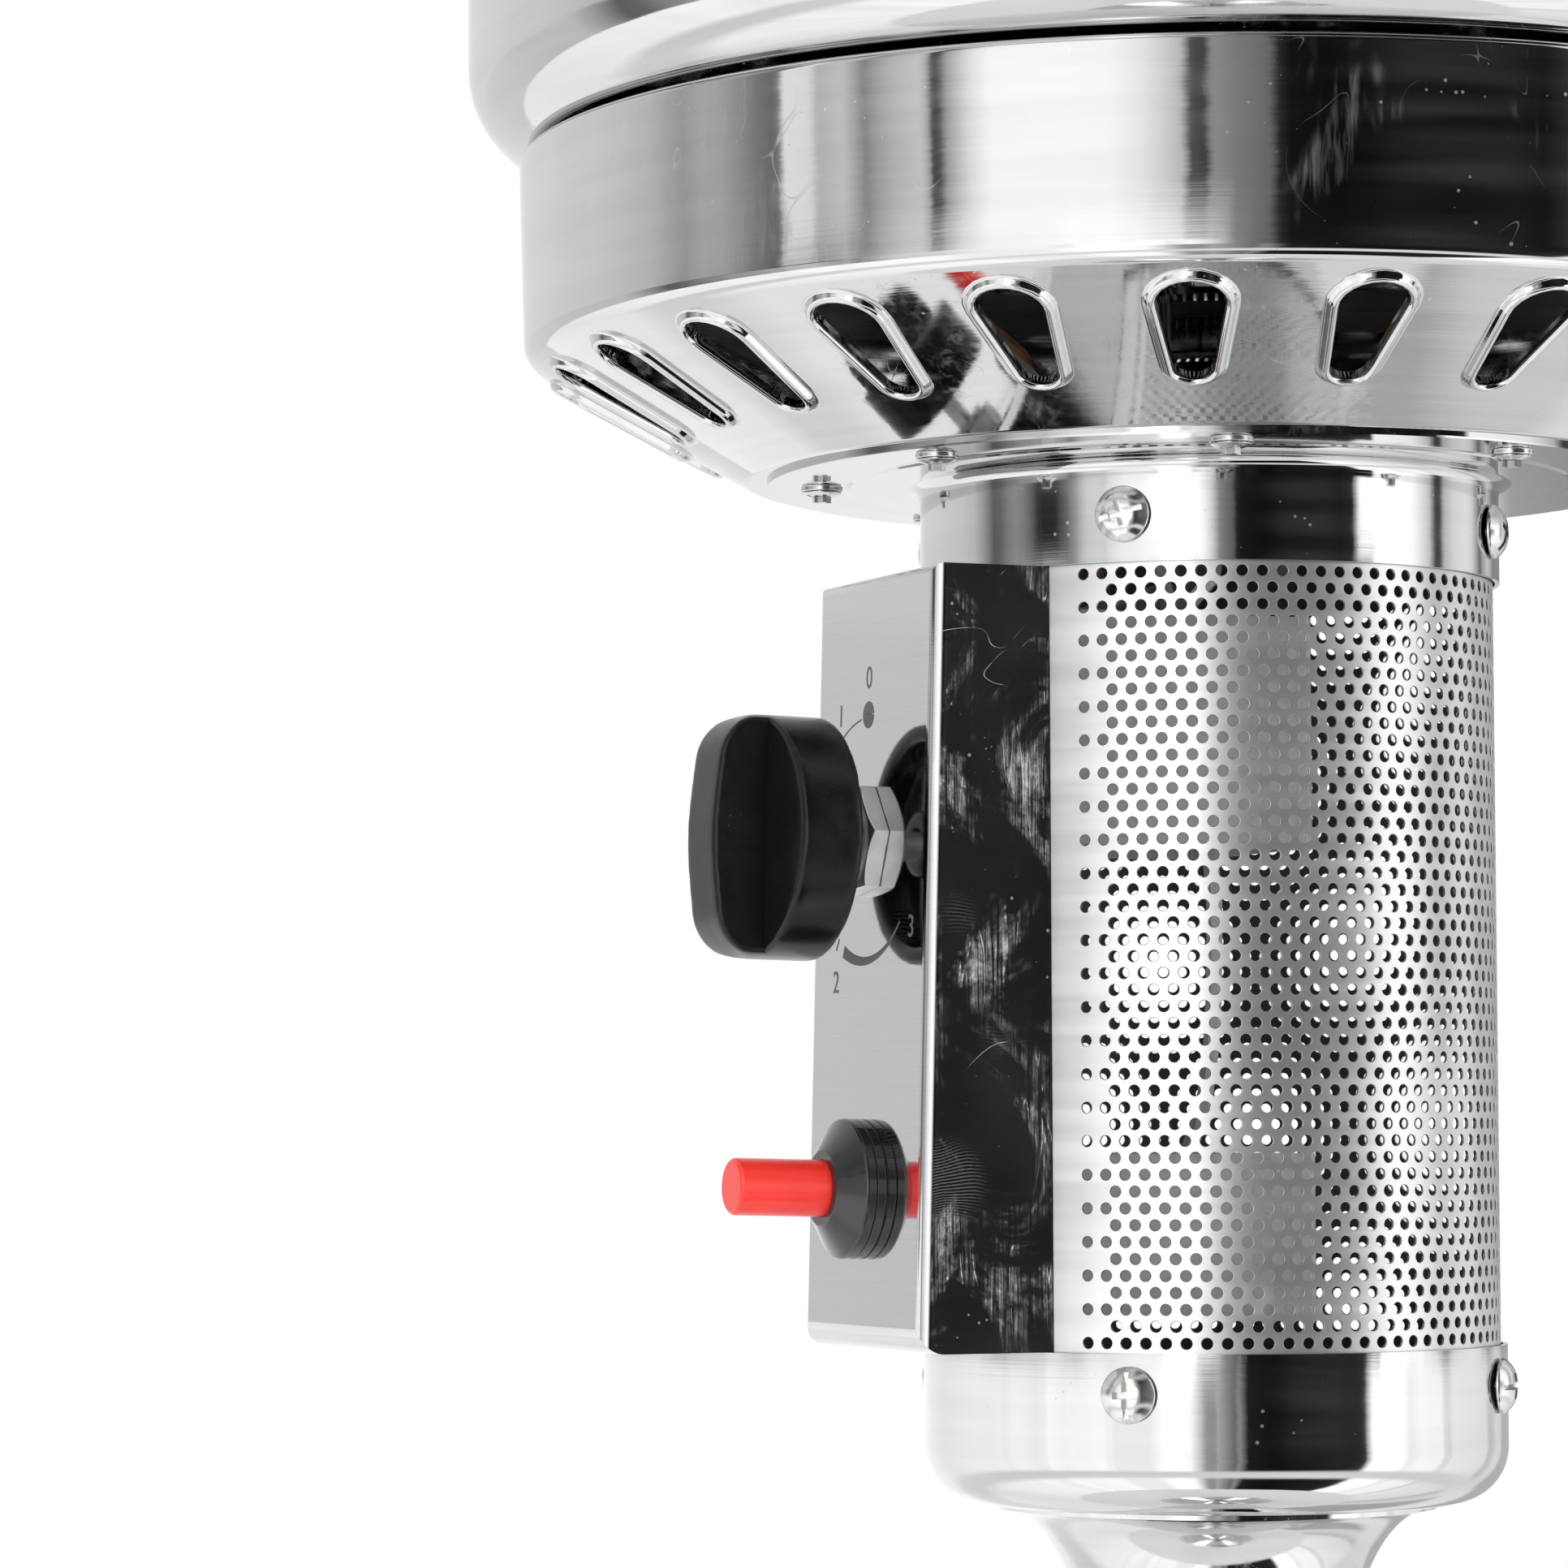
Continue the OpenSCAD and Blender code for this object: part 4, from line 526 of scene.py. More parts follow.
# Perforated sheets
def perforated(r, t, lines, levels, holes, hole_r, void):
    """A round sheet with holes. lines are angles in degrees, levels are heights, holes[j] lists the lines that carry
    a hole in row j, and void(j, k) tells where the half cell after line k of row j is left out."""
    lines, levels = np.asarray(lines), np.asarray(levels)
    half = len(lines)
    bevel = 0.12
    parts = []

    def wrap(a, z, radius):
        a = np.radians(a)
        return np.stack([radius * np.cos(a), radius * np.sin(a), z], -1)

    def skin(a, z):
        up = spokes(np.radians(a))
        parts.append((wrap(a, z, r), up))
        parts.append((wrap(a, z, r - t)[:, ::-1], -up[:, ::-1]))

    ends = np.append(lines, lines[0] + 360)
    centres, lows, highs, plain, walls = [], [], [], [], []
    for j in range(len(levels) - 1):
        taken = set()
        for k in holes[j]:
            taken |= {k - 1, k}
            centres.append((lines[k - 1], lines[k], ends[k + 1]))
            lows.append(levels[j])
            highs.append(levels[j + 1])
        for k in range(half):
            if void(j, k):
                for side, other in ((k, (k - 1) % half), (k + 1, (k + 1) % half)):
                    if not void(j, other):
                        walls.append(((ends[side], levels[j]), (ends[side], levels[j + 1]), side == k))
                continue
            if k not in taken:
                plain.append((ends[k], ends[k + 1], levels[j], levels[j + 1]))
            for beyond, z, low in ((j - 1, levels[j], True), (j + 1, levels[j + 1], False)):
                if beyond < 0 or beyond > len(levels) - 2 or void(beyond, k):
                    walls.append(((ends[k], z), (ends[k + 1], z), low))
    p = np.array(plain)
    skin(np.stack([p[:, 0], p[:, 1], p[:, 1], p[:, 0]], 1), np.stack([p[:, 2], p[:, 2], p[:, 3], p[:, 3]], 1))
    for a, b, way in walls:
        (a0, z0), (a1, z1) = (a, b) if way else (b, a)
        quad = np.array([[a0, z0], [a1, z1], [a1, z1], [a0, z0]])
        radius = np.array([r - t, r - t, r, r])
        corners = wrap(quad[:, 0], quad[:, 1], radius)
        square = unit(np.cross(corners[1] - corners[0], corners[2] - corners[1]))
        parts.append((corners[None], np.repeat(square[None, None], 4, 1)))
    if centres:
        c = np.array(centres)
        low, high = np.array(lows), np.array(highs)
        mid = (low + high) / 2
        turn = np.radians(np.arange(12) * 30 + 210)

        def circle(rho):
            return (c[:, 1, None] + np.degrees(rho * np.cos(turn) / r), mid[:, None] + rho * np.sin(turn))

        frame_a = np.stack([c[:, 0], c[:, 1], c[:, 2], c[:, 2], c[:, 1], c[:, 0]], 1)
        frame_z = np.stack([low, low, low, high, high, high], 1)
        big_a, big_z = circle(hole_r + bevel)
        for i in range(6):
            after = (i + 1) % 6
            ring = [(2 * i + 2) % 12, 2 * i + 1, 2 * i]
            a = np.stack([frame_a[:, i], frame_a[:, after]] + [big_a[:, q] for q in ring], 1)
            z = np.stack([frame_z[:, i], frame_z[:, after]] + [big_z[:, q] for q in ring], 1)
            skin(a, z)
        small_a, small_z = circle(hole_r)
        tangent = np.stack([-np.sin(np.radians(c[:, 1])), np.cos(np.radians(c[:, 1])), 0 * c[:, 1]], 1)
        inward = -(np.cos(turn)[None, :, None] * tangent[:, None] + np.sin(turn)[None, :, None] * np.array([0, 0, 1]))
        radial = spokes(np.radians(big_a))
        nxt = np.roll(np.arange(12), -1)
        for radius_0, ring_0, n0, radius_1, ring_1, n1 in (
                (r, (big_a, big_z), radial, r - bevel, (small_a, small_z), inward),
                (r - bevel, (small_a, small_z), inward, r - t + bevel, (small_a, small_z), inward),
                (r - t + bevel, (small_a, small_z), inward, r - t, (big_a, big_z), -radial)):
            top, low_ring = wrap(*ring_0, radius_0), wrap(*ring_1, radius_1)
            faces = np.stack([top, top[:, nxt], low_ring[:, nxt], low_ring], 2)
            normals = np.stack([n0, n0[:, nxt], n1[:, nxt], n1], 2)
            parts.append((faces.reshape(-1, 4, 3), normals.reshape(-1, 4, 3)))
    return parts


def cover_piece():
    """The perforated cover, with plain strips beside the control box and a window behind it."""
    first_hole, columns, hole_rows, row, hole_r = -52.4, 72, 47, 2.88, 1.0
    step = (180 - 2 * first_hole) / (2 * columns)
    margin, window_lines = 5, 14
    drilled = first_hole + step * np.arange(-margin, 2 * columns + margin + 1)
    gap = np.linspace(drilled[-1], drilled[0] + 360, window_lines + 1)[1:-1]
    lines = np.concatenate([drilled, gap])
    start = HEAD + (COVER_H - hole_rows * row) / 2
    ends = HEAD - COVER_LAP, HEAD + COVER_H + COVER_LAP
    levels = np.concatenate([[ends[0]], start + row * np.arange(hole_rows + 1), [ends[1]]])
    rows = (range(margin, margin + 2 * columns + 1, 2), range(margin + 3, margin + 2 * columns - 2, 2))
    holes = [[], *[rows[j % 2] for j in range(hole_rows)], []]
    window = range(len(drilled) - 1, len(lines))
    parts = perforated(COVER_R, COVER_T, lines, levels, holes, hole_r,
                       lambda j, k: k in window and 2 <= j <= hole_rows - 1)
    return piece("cover_mesh", welded("cover_mesh", parts), "stand", "mesh", "perforated_cover")


cover_piece()


def emitter_piece():
    """The emitter screen with its fine holes."""
    low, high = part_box("emitter_screen")
    r, z0, z1 = high.x / MM, low.z / MM, high.z / MM
    columns, row, edge, under_cap, thick, hole_r = 58, 9.6, 8.0, 18.0, 1.0, 3.6
    lines = np.arange(2 * columns) * 180.0 / columns
    rows = int((z1 - z0 - edge - under_cap) / row)
    levels = np.concatenate([[z0], z0 + edge + row * np.arange(rows + 1), [z1]])
    holes = [[]] + [[2 * k + 1 + j % 2 for k in range(columns - j % 2)] for j in range(rows)] + [[]]
    parts = perforated(r, thick, lines, levels, holes, hole_r, lambda j, k: False)
    return piece("emitter_mesh", welded("emitter_mesh", parts), "stand", "emitter", "emitter_screen")


emitter_piece()


# Spun sheets
def ring_of(r, z, bead, steps=20):
    """Outline of a rolled rim: a circle, anticlockwise."""
    a = np.radians(np.arange(steps + 1) * 360 / steps)
    normals = [np.array([cos(v), sin(v)]) for v in a]
    centre = np.array([r, z])
    return [(centre + bead * m, centre + bead * n, m, n) for m, n in zip(normals, normals[1:])]


def flare_outline():
    """The flared foot: a quarter of an ellipse between the post and its plate, smooth on both sides."""
    rim, rise, reach, thick, bore = FLARE_RIM, FLARE_H, FLARE_REACH, 1.2, 18.0
    top = HEAD - CUP_H
    low = top - FLARE_PLATE - rise

    def row(extra, t):
        return np.array([rim - (reach + extra) * cos(t), low + (rise + extra) * sin(t)])

    def square(extra, t):
        return unit(np.array([-cos(t) * (rise + extra), sin(t) * (reach + extra)]))

    steps = 32
    outer = [pi / 2 * k / steps for k in range(steps + 1)]
    last = asin(rise / (rise + thick))
    inner = [last * k / steps for k in range(steps + 1)]
    edges = [(row(0, a), row(0, b), -square(0, a), -square(0, b)) for a, b in zip(outer, outer[1:])]
    plate = [np.array(q) for q in ((rim, low + rise), (rim, top), (bore, top), (bore, low + rise))]
    corners = plate + [row(thick, last)]
    edges += [(corners[k], corners[k + 1], None, None) for k in range(4)]
    edges += [(row(thick, inner[k + 1]), row(thick, inner[k]), square(thick, inner[k + 1]), square(thick, inner[k]))
              for k in reversed(range(steps))]
    edges.append((row(thick, 0), row(0, 0), None, None))
    return closed(edges)


spun_piece("cup_shell", sheet([[18, HEAD - CUP_H], [CUP_R, HEAD - CUP_H, 10], [CUP_R, HEAD]], CUP_T),
           "steel", "stand", "lower_cup")
spun_piece("flare_shell", flare_outline(), "steel", "stand", "flared_foot")
spun_piece("collar_shell", sheet([[CUP_R, COLLAR_Z], [CUP_R, FLANGE_Z - STEP, 2.5], [65, FLANGE_Z - STEP, 0.8],
                                  [65.8, FLANGE_Z, 0.8], [80, FLANGE_Z]], CUP_T), "steel", "stand", "upper_collar")
spun_piece("tray_shell", sheet([[TRAY_BORE, TRAY_Z], [TRAY_R, TRAY_Z, 16], [TRAY_R, TRAY_Z + TRAY_H - TRAY_BEAD]],
                               BOWL_T) + ring_of(TRAY_R - TRAY_BEAD, TRAY_Z + TRAY_H, TRAY_BEAD),
           "steel", "stand", "bowl_tray")
spun_piece("cap_shell", sheet([[CAP_R, CAP_Z - CAP_SKIRT], [CAP_R, CAP_Z, 1.2], [0, CAP_Z]], 1.0),
           "steel", "stand", "emitter_cap")
reflector_low = REFLECTOR_Z - REFLECTOR_DROP
spun_piece("reflector_shell", sheet([[REFLECTOR_EDGE_R, reflector_low],
                                     [REFLECTOR_EDGE_R, reflector_low + REFLECTOR_LIP, 10],
                                     [96, REFLECTOR_Z, 10], [0, REFLECTOR_Z]], -1.0)
           + ring_of(REFLECTOR_EDGE_R + 0.5, reflector_low, REFLECTOR_BEAD), "reflector", "stand", "reflector",
           n=288)
spun_piece("housing_top_shell", sheet([[201.2, 678], [201.2, 702, 12], [34, 794, 10], [34, 810, 2], [29, 810]], 1.0),
           "housing", "housing", "housing_top", n=256)


# Burner bowl
def teardrop(grow):
    """Outline round a slot, as distances up the slope and across, with the way out of it: 44 points."""
    low, high, small, big = 17.0, 34.3, 3.3, 5.7
    taper = asin((big - small) / (high - low))
    edge = pi / 2 + taper

    def arc(at, r, t):
        return np.array([at + (r + grow) * cos(t), (r + grow) * sin(t)]), np.array([cos(t), sin(t)])

    out = [arc(high, big, -edge + 2 * edge * k / 12) for k in range(12)]
    for sign in (1, -1):
        ends = [arc(high, big, sign * edge)[0], arc(low, small, sign * edge)[0]]
        if sign < 0:
            ends.reverse()
        way = np.array([cos(sign * edge), sin(sign * edge)])
        out += [(ends[0] + (ends[1] - ends[0]) * k / 10, way) for k in range(10)]
        if sign > 0:
            out += [arc(low, small, edge + (2 * pi - 2 * edge) * k / 12) for k in range(12)]
    return np.array([q[0] for q in out]), np.array([q[1] for q in out])


def bowl_parts():
    """The bowl: spun bands, and a sector of the slope round each slot with its raised, rolled rim."""
    slope = atan2(SLOPE_H, BOWL_R - FLOOR_R)
    c, s = cos(slope), sin(slope)
    low, high, half = 9.0, 43.3, radians(180 / SLOTS)
    up_slope = lambda d: [FLOOR_R + d * c, BOWL_Z + d * s]
    inner = sheet([[50.6, BOWL_Z], [FLOOR_R, BOWL_Z, 3], up_slope(low)], BOWL_T)
    outer = sheet([up_slope(high), [BOWL_R, CORNER_Z, 4], [BOWL_R + 0.9, TRAY_Z, 1.5], [107.8, TRAY_Z]], BOWL_T)
    off = BOWL_T / 2 * np.array([-s, c])
    ends = [np.array(up_slope(d)) + off for d in (low, high)]
    edges = [e for e in inner + outer if min(np.linalg.norm((e[0] + e[1]) / 2 - m) for m in ends) > 0.01]
    first = HEAD_TURN - 90 - 180 / SLOTS
    parts = revolve(edges, 12 * SLOTS, first, first + 360)
    across = lambda d, share: share * half * (FLOOR_R + d * c)
    border = ([(high, across(high, -1 + k / 6)) for k in range(12)]
              + [(high + (low - high) * k / 10, across(high + (low - high) * k / 10, 1)) for k in range(10)]
              + [(low, across(low, 1 - k / 6)) for k in range(12)]
              + [(low + (high - low) * k / 10, across(low + (high - low) * k / 10, -1)) for k in range(10)])
    border = np.array(border)
    profile = [(2.5, 0), (2.15, 0.06), (1.85, 0.3), (1.6, 0.75), (1.25, 1.15), (0.8, 1.4), (0.4, 1.3), (0.1, 0.95),
               (0, 0.5), (0, -0.2), (0, -BOWL_T)]
    outside, ways = teardrop(profile[0][0])
    rows = [(border + (outside - border) * t, ways, 0.0, (0.0, 1.0)) for t in (0, 0.36, 0.7)]
    for k, (grow, height) in enumerate(profile):
        a, b = profile[max(k - 1, 0)], profile[min(k + 1, len(profile) - 1)]
        lean = unit(np.array([b[1] - a[1], a[0] - b[0]])) if k else np.array([0.0, 1.0])
        rows.append((teardrop(grow)[0], ways, height, lean))
    back = [(teardrop(profile[-1][0])[0], ways, -BOWL_T, (0.0, -1.0)), (outside, ways, -BOWL_T, (0.0, -1.0)),
            (border, ways, -BOWL_T, (0.0, -1.0))]

    def mapped(row, turn):
        at, way, height, (lean_out, lean_up) = row
        rho = FLOOR_R + at[:, 0] * c
        phi = turn + at[:, 1] / rho
        radial = spokes(phi)
        round_way = np.stack([-np.sin(phi), np.cos(phi), 0 * phi], 1)
        up_way = radial * c + np.array([0, 0, s])
        normal = radial * s - np.array([0, 0, c])
        place = radial * rho[:, None] + np.array([0, 0, 1]) * (BOWL_Z + at[:, 0] * s)[:, None] + normal * height
        facing = normal * lean_up + (up_way * way[:, :1] + round_way * way[:, 1:]) * lean_out
        return place, facing

    for k in range(SLOTS):
        turn = radians(HEAD_TURN - 90 + k * 360 / SLOTS)
        for run_of in (rows, back):
            made = [mapped(row, turn) for row in run_of]
            for (p0, n0), (p1, n1) in zip(made, made[1:]):
                quads = [p0, np.roll(p0, -1, 0), np.roll(p1, -1, 0), p1]
                facing = [n0, np.roll(n0, -1, 0), np.roll(n1, -1, 0), n1]
                parts.append((np.stack(quads[::-1], 1), np.stack(facing[::-1], 1)))
    return parts


piece("bowl_shell", welded("bowl_shell", bowl_parts()), "stand", "steel", "burner_bowl")


# Control box
def extruded(outline, z0, z1, turn=None):
    """A prism mesh over an outline, for carving."""
    area = sum(p[0] * q[1] - p[1] * q[0] for p, q in zip(outline, outline[1:] + outline[:1]))
    if area < 0:
        outline = outline[::-1]
    n = len(outline)
    verts = [Vector((x * MM, y * MM, z * MM)) for z in (z0, z1) for x, y in outline]
    if turn is not None:
        verts = [turn @ v for v in verts]
    faces = [tuple(reversed(range(n))), tuple(range(n, 2 * n))]
    faces += [(k, (k + 1) % n, n + (k + 1) % n, n + k) for k in range(n)]
    return finish_mesh("prism", [tuple(v) for v in verts], faces)


def circle(r, n):
    return [(r * cos(t), r * sin(t)) for t in np.linspace(0, 2 * pi, n + 1)[:-1]]


def crisp(mesh, angle):
    """The mesh shaded smooth, apart from edges sharper than an angle."""
    mesh.shade_smooth()
    mesh.set_sharp_from_angle(angle=radians(angle))
    return mesh


def outline_of(path, t=0.0):
    """The path's points, moved sideways."""
    return [tuple(p + t * off) for p, _, _, off in stations(path, 6.0)]


def box_mesh():
    """The box: sheet with an upright, slightly leaning panel, bent round its sides, top and bottom."""
    top_y, side, past = PANEL_Y - COVER_H * tan(LEAN), BOX_W / 2, 60
    plan = [[-side, PANEL_Y], [-side, 0, BOX_BEND], [side, 0, BOX_BEND], [side, PANEL_Y]]
    profile = [[-COVER_R / 2, 0], [-PANEL_Y, 0, 4.5], [-top_y, COVER_H, 2], [-COVER_R / 2, COVER_H]]
    lean = shift(0, -PANEL_Y, HEAD) @ Matrix.Rotation(-LEAN, 4, "X")
    across = shift(0, 0, HEAD) @ about("Z", 90) @ about("X", 90)
    shells = [carved(extruded(outline_of(plan, inset), -past, COVER_H + past, lean),
                     extruded(outline_of(profile, -inset), -past, past, across), operation="INTERSECT")
              for inset in (0, BOX_T)]
    tube = extruded(circle(COVER_R + 0.2, 192), HEAD - 5, HEAD + COVER_H + 5)
    holes = [extruded(circle(r, 64), -5, 5, control_place(at)) for at, r in ((KNOB_S, 7.2), (IGNITER_S, 8.2))]
    mesh = crisp(carved(shells[0], shells[1], tube, *holes), 35)
    return evaluated(mesh, ("WEIGHTED_NORMAL", dict(keep_sharp=True, weight=100)))


piece("box_shell", box_mesh(), "stand", "panel", "control_box")


def inner_bracket():
    """The bent sheet round the valve, which shows as grey behind the cover's holes."""
    t, half, back, joggle = 0.8, 23.3, 9.0, 1.2
    side = [[-half - joggle, -62], [-half - joggle, -52, 1.5], [-half, -49, 1.5], [-half, back, 2]]
    path = side + [[-x, y, r] for x, y, r in reversed(side[1:])] + [[half + joggle, -62]]
    sheet_line = outline_of(path) + outline_of(path, -t)[::-1]
    mesh = extruded(sheet_line, HEAD + 5, HEAD + 129)
    window = block((-40, -46, HEAD + 34), (40, back + 5, HEAD + 88))
    piece("inner_bracket", crisp(carved(mesh, window), 30), "stand", "zinc")


inner_bracket()


# Knob, nut and igniter
def rounded(mesh, voxel, steps):
    """The mesh with moulded edges: fine voxels, smoothed."""
    mesh = evaluated(mesh, ("REMESH", dict(mode="VOXEL", voxel_size=voxel * MM)),
                     ("SMOOTH", dict(factor=0.5, iterations=steps)))
    mesh.shade_smooth()
    return mesh


def knob_mesh():
    """The knob: a broad grip across a round skirt with scooped sides, hollow behind, with moulded soft edges. Grip
    and skirt are smoothed by themselves, so that the line between them stays crisp."""
    r, low, front, edge, half, voxel = 21.4, 9.6, 32.0, 29.6, 6.6, 0.34
    at = control_place(KNOB_S)
    along = at @ about("Z", 90) @ about("X", 90)
    across = at @ about("X", 90)
    profile = outline_of([[-r, low], [-r, edge, 8.8], [0, front, 60], [r, edge, 8.8], [r, low]])
    grip = extruded(circle(r, 160), low + 3.5, front + 1, at)
    grip = carved(grip, extruded(profile, -half, half, along), operation="INTERSECT")
    floor_line = [[-r - 2, front + 5], [-r - 2, 20.6], [-half, 21.8], [half, 21.8], [r + 2, 20.6], [r + 2, front + 5]]
    skirt = carved(extruded(circle(r, 160), low, 26, at), extruded(outline_of(floor_line), -30, 30, across))
    hollow = carved(extruded(circle(18, 96), low - 1, low + 6, at), extruded(circle(6, 64), low - 2, low + 7, at))
    skirt = rounded(carved(skirt, hollow), voxel, 44)
    mesh = carved(skirt, rounded(grip, voxel, 60), operation="UNION")
    return crisp(carved(mesh, extruded(circle(3.05, 48), low - 1, low + 14, at)), 40)


def controls():
    piece("knob_grip", knob_mesh(), "knob", "knob", "control_knob")
    piece("panel_nut", rounded(frame["nodes"]["valve_nut"].data.copy(), 0.14, 3), "stand", "zinc", "valve_nut")
    at = np.array(control_place(IGNITER_S))
    at[:3, 3] /= MM
    bezel = solid([[5.08, -18], [8, -18], [8, 0], [12.3, 0, 0.3], [12.3, 1.7, 0.12], [12.08, 1.85], [12.3, 2.0, 0.12],
                   [12.3, 3.7, 0.8], [6.6, 7.3, 0.6], [5.08, 7.3]])
    button = solid([[0, -22], [5, -22], [5, 24.3, 0.9], [0, 24.3]])
    for name, outline, n, body, slot, node in (("bezel_ring", bezel, 128, "stand", "bezel", "igniter_bezel"),
                                               ("push_button", button, 96, "plunger", "button", "igniter_button")):
        piece(name, welded(name, moved(revolve(outline, n), at)), body, slot, node)


controls()


# Screws
def pan_head(r, shank, length, height, slot):
    """A pan head with a slot and a cross in it, standing on z = 0."""
    outline = solid([[0, -length], [shank, -length], [shank, 0.2], [r * 0.93, 0.2], [r, height * 0.14, 0.1],
                     [r, height * 0.3, height * 0.22], [r * 0.6, height * 0.94, r * 0.8], [0, height]])
    body = welded("head", revolve(outline, 48))
    deep = height * 0.45
    cuts = [block((-r * 1.1, -slot / 2, height * 0.6), (r * 1.1, slot / 2, height * 2))]
    cuts += [block((-a, -b, deep), (a, b, height * 2)) for a, b in ((r * 0.46, slot * 0.62), (slot * 0.62, r * 0.46))]
    return carved(body, *cuts)


def screws():
    spin = np.random.default_rng(7).uniform(0, 180, 16)
    head = pan_head(4.9, 2.4, 4.0, 2.9, 0.95)
    for name, node, z, turns in (("collar_heads", "collar_screws", COVER_H + 8.2, (62, 150, 20, 14)),
                                 ("cup_heads", "cup_screws", -7.0, (2, 56, 130, 90))):
        places = [side_place(45 + HEAD_TURN + 90 * k, HEAD + z) @ about("Z", turn) for k, turn in enumerate(turns)]
        piece(name, repeated(head, places), "stand", "screw", node)
    small = pan_head(3.55, 2.0, 5.0, 1.0, 0.7)
    thick = 0.5
    washer = welded("washer", revolve(solid([[0, -0.1], [3.75, -0.1], [3.75, thick, 0.2], [0, thick]]), 48))
    flip = Matrix.Rotation(pi, 4, "X")
    places = [about("Z", 22.5 - HEAD_TURN + 45 * k) @ shift(70, 0, FLANGE_Z) @ flip @ about("Z", spin[k])
              for k in range(8)]
    piece("flange_heads", repeated(small, [m @ shift(0, 0, thick) for m in places]), "stand", "screw",
          "flange_screws")
    piece("flange_washers", repeated(washer, places), "stand", "screw")


screws()


# Marks on the panel
def flat_strip(points, widths, height=0.04):
    """A thin raised strip along points on a plane."""
    verts, faces = [], []
    for k, (p, w) in enumerate(zip(points, widths)):
        a, b = points[max(k - 1, 0)], points[min(k + 1, len(points) - 1)]
        out = left_of(unit(np.array(b) - np.array(a))) * w / 2
        for sign in (-1, 1):
            q = np.array(p) + out * sign
            verts += [(q[0] * MM, q[1] * MM, -0.01 * MM), (q[0] * MM, q[1] * MM, height * MM)]
    for k in range(len(points) - 1):
        a, b = 4 * k, 4 * k + 4
        faces += [(a + 1, a + 3, b + 3, b + 1), (a, b, b + 2, a + 2)]
        faces += [(a, a + 1, b + 1, b), (a + 2, b + 2, b + 3, a + 3)]
    last = 4 * len(points) - 4
    faces += [(0, 2, 3, 1), (last, last + 1, last + 3, last + 2)]
    return finish_mesh("strip", verts, [f[::-1] for f in faces])


def round_points(r, first, last, steps):
    return [(r * cos(radians(a)), r * sin(radians(a))) for a in np.linspace(first, last, steps)]


def figure(text, size, place):
    """A numeral as a thin raised mesh."""
    curve = bpy.data.curves.new("figure", "FONT")
    curve.body, curve.size, curve.align_x, curve.align_y = text, size * MM, "CENTER", "CENTER"
    curve.extrude = 0.025 * MM
    curve.resolution_u = 4
    mesh = baked(placed("figure", curve))
    mesh.transform(place @ shift(0, 0, 0.02))
    return mesh


def dial():
    """Generic dial marks: a dot at rest, numbered places and a tapering arc."""
    at = control_place(KNOB_S)
    tick = [(r * cos(radians(237)), r * sin(radians(237))) for r in (20, 22.4)]
    dot = flat_strip(round_points(1.2, 0, 360, 33), [2.4] * 33)
    dot.transform(at @ shift(0, 22.5, 0))
    meshes = [dot]
    for points, widths in ((round_points(22, 98, 128, 20), [0.3] * 20), (tick, [0.4] * 2),
                           (round_points(21, 245, 316.5, 40), list(np.linspace(2.2, 0.3, 40)))):
        mesh = flat_strip(points, widths)
        mesh.transform(at)
        meshes.append(mesh)
    for text, r, a in (("0", 28.9, 90), ("1", 25.9, 118), ("2", 27.4, 244), ("3", 25.4, 322)):
        spot = at @ shift(r * cos(radians(a)), r * sin(radians(a)), 0)
        meshes.append(figure(text, 5.6, spot))
    verts, faces = [], []
    for mesh in meshes:
        base = len(verts)
        verts += [tuple(v.co) for v in mesh.vertices]
        faces += [tuple(i + base for i in f.vertices) for f in mesh.polygons]
    marks = finish_mesh("dial_marks", verts, faces)
    marks.shade_flat()
    piece("dial_marks", marks, "stand", "plastic", look="print")


dial()


# Studio
def camera():
    """The camera fitted to the photograph, relative to the cover's lower edge."""
    distance, azimuth, height = 1009.03, 1.0953, 38.519
    yaw, pitch, roll = 0.0764, 0.0618, -0.0031
    turn = azimuth + yaw
    forward = Vector((-sin(turn) * cos(pitch), cos(turn) * cos(pitch), sin(pitch)))
    right = Vector((cos(turn), sin(turn), 0))
    up = right.cross(forward)
    side = right * cos(roll) + up * sin(roll)
    top = up * cos(roll) - right * sin(roll)
    data = bpy.data.cameras.new("camera")
    data.sensor_width = 36
    data.lens = 128.106
    data.clip_start, data.clip_end = 0.02, 50
    made = placed("camera", data)
    place = Matrix((side, top, -forward)).transposed().to_4x4()
    place.translation = Vector((distance * sin(azimuth), -distance * cos(azimuth), HEAD + height)) * MM
    made.matrix_world = place
    bpy.context.scene.camera = made


def world():
    """White for the camera, reflections and glass, and plain soft light on the object."""
    made = bpy.data.worlds.new("studio")
    bpy.context.scene.world = made
    made.use_nodes = True
    tree = made.node_tree
    tree.nodes.clear()
    path = tree.nodes.new("ShaderNodeLightPath")
    seen = path.outputs["Is Camera Ray"]
    for kind in ("Is Glossy Ray", "Is Transmission Ray"):
        most = tree.nodes.new("ShaderNodeMath")
        most.operation = "MAXIMUM"
        tree.links.new(seen, most.inputs[0])
        tree.links.new(path.outputs[kind], most.inputs[1])
        seen = most.outputs[0]
    level = tree.nodes.new("ShaderNodeMapRange")
    level.inputs["To Min"].default_value = 0.82
    tree.links.new(seen, level.inputs["Value"])
    back = tree.nodes.new("ShaderNodeBackground")
    tree.links.new(level.outputs[0], back.inputs["Strength"])
    back.inputs["Color"].default_value = (1, 1, 1, 1)
    out = tree.nodes.new("ShaderNodeOutputWorld")
    tree.links.new(back.outputs[0], out.inputs[0])


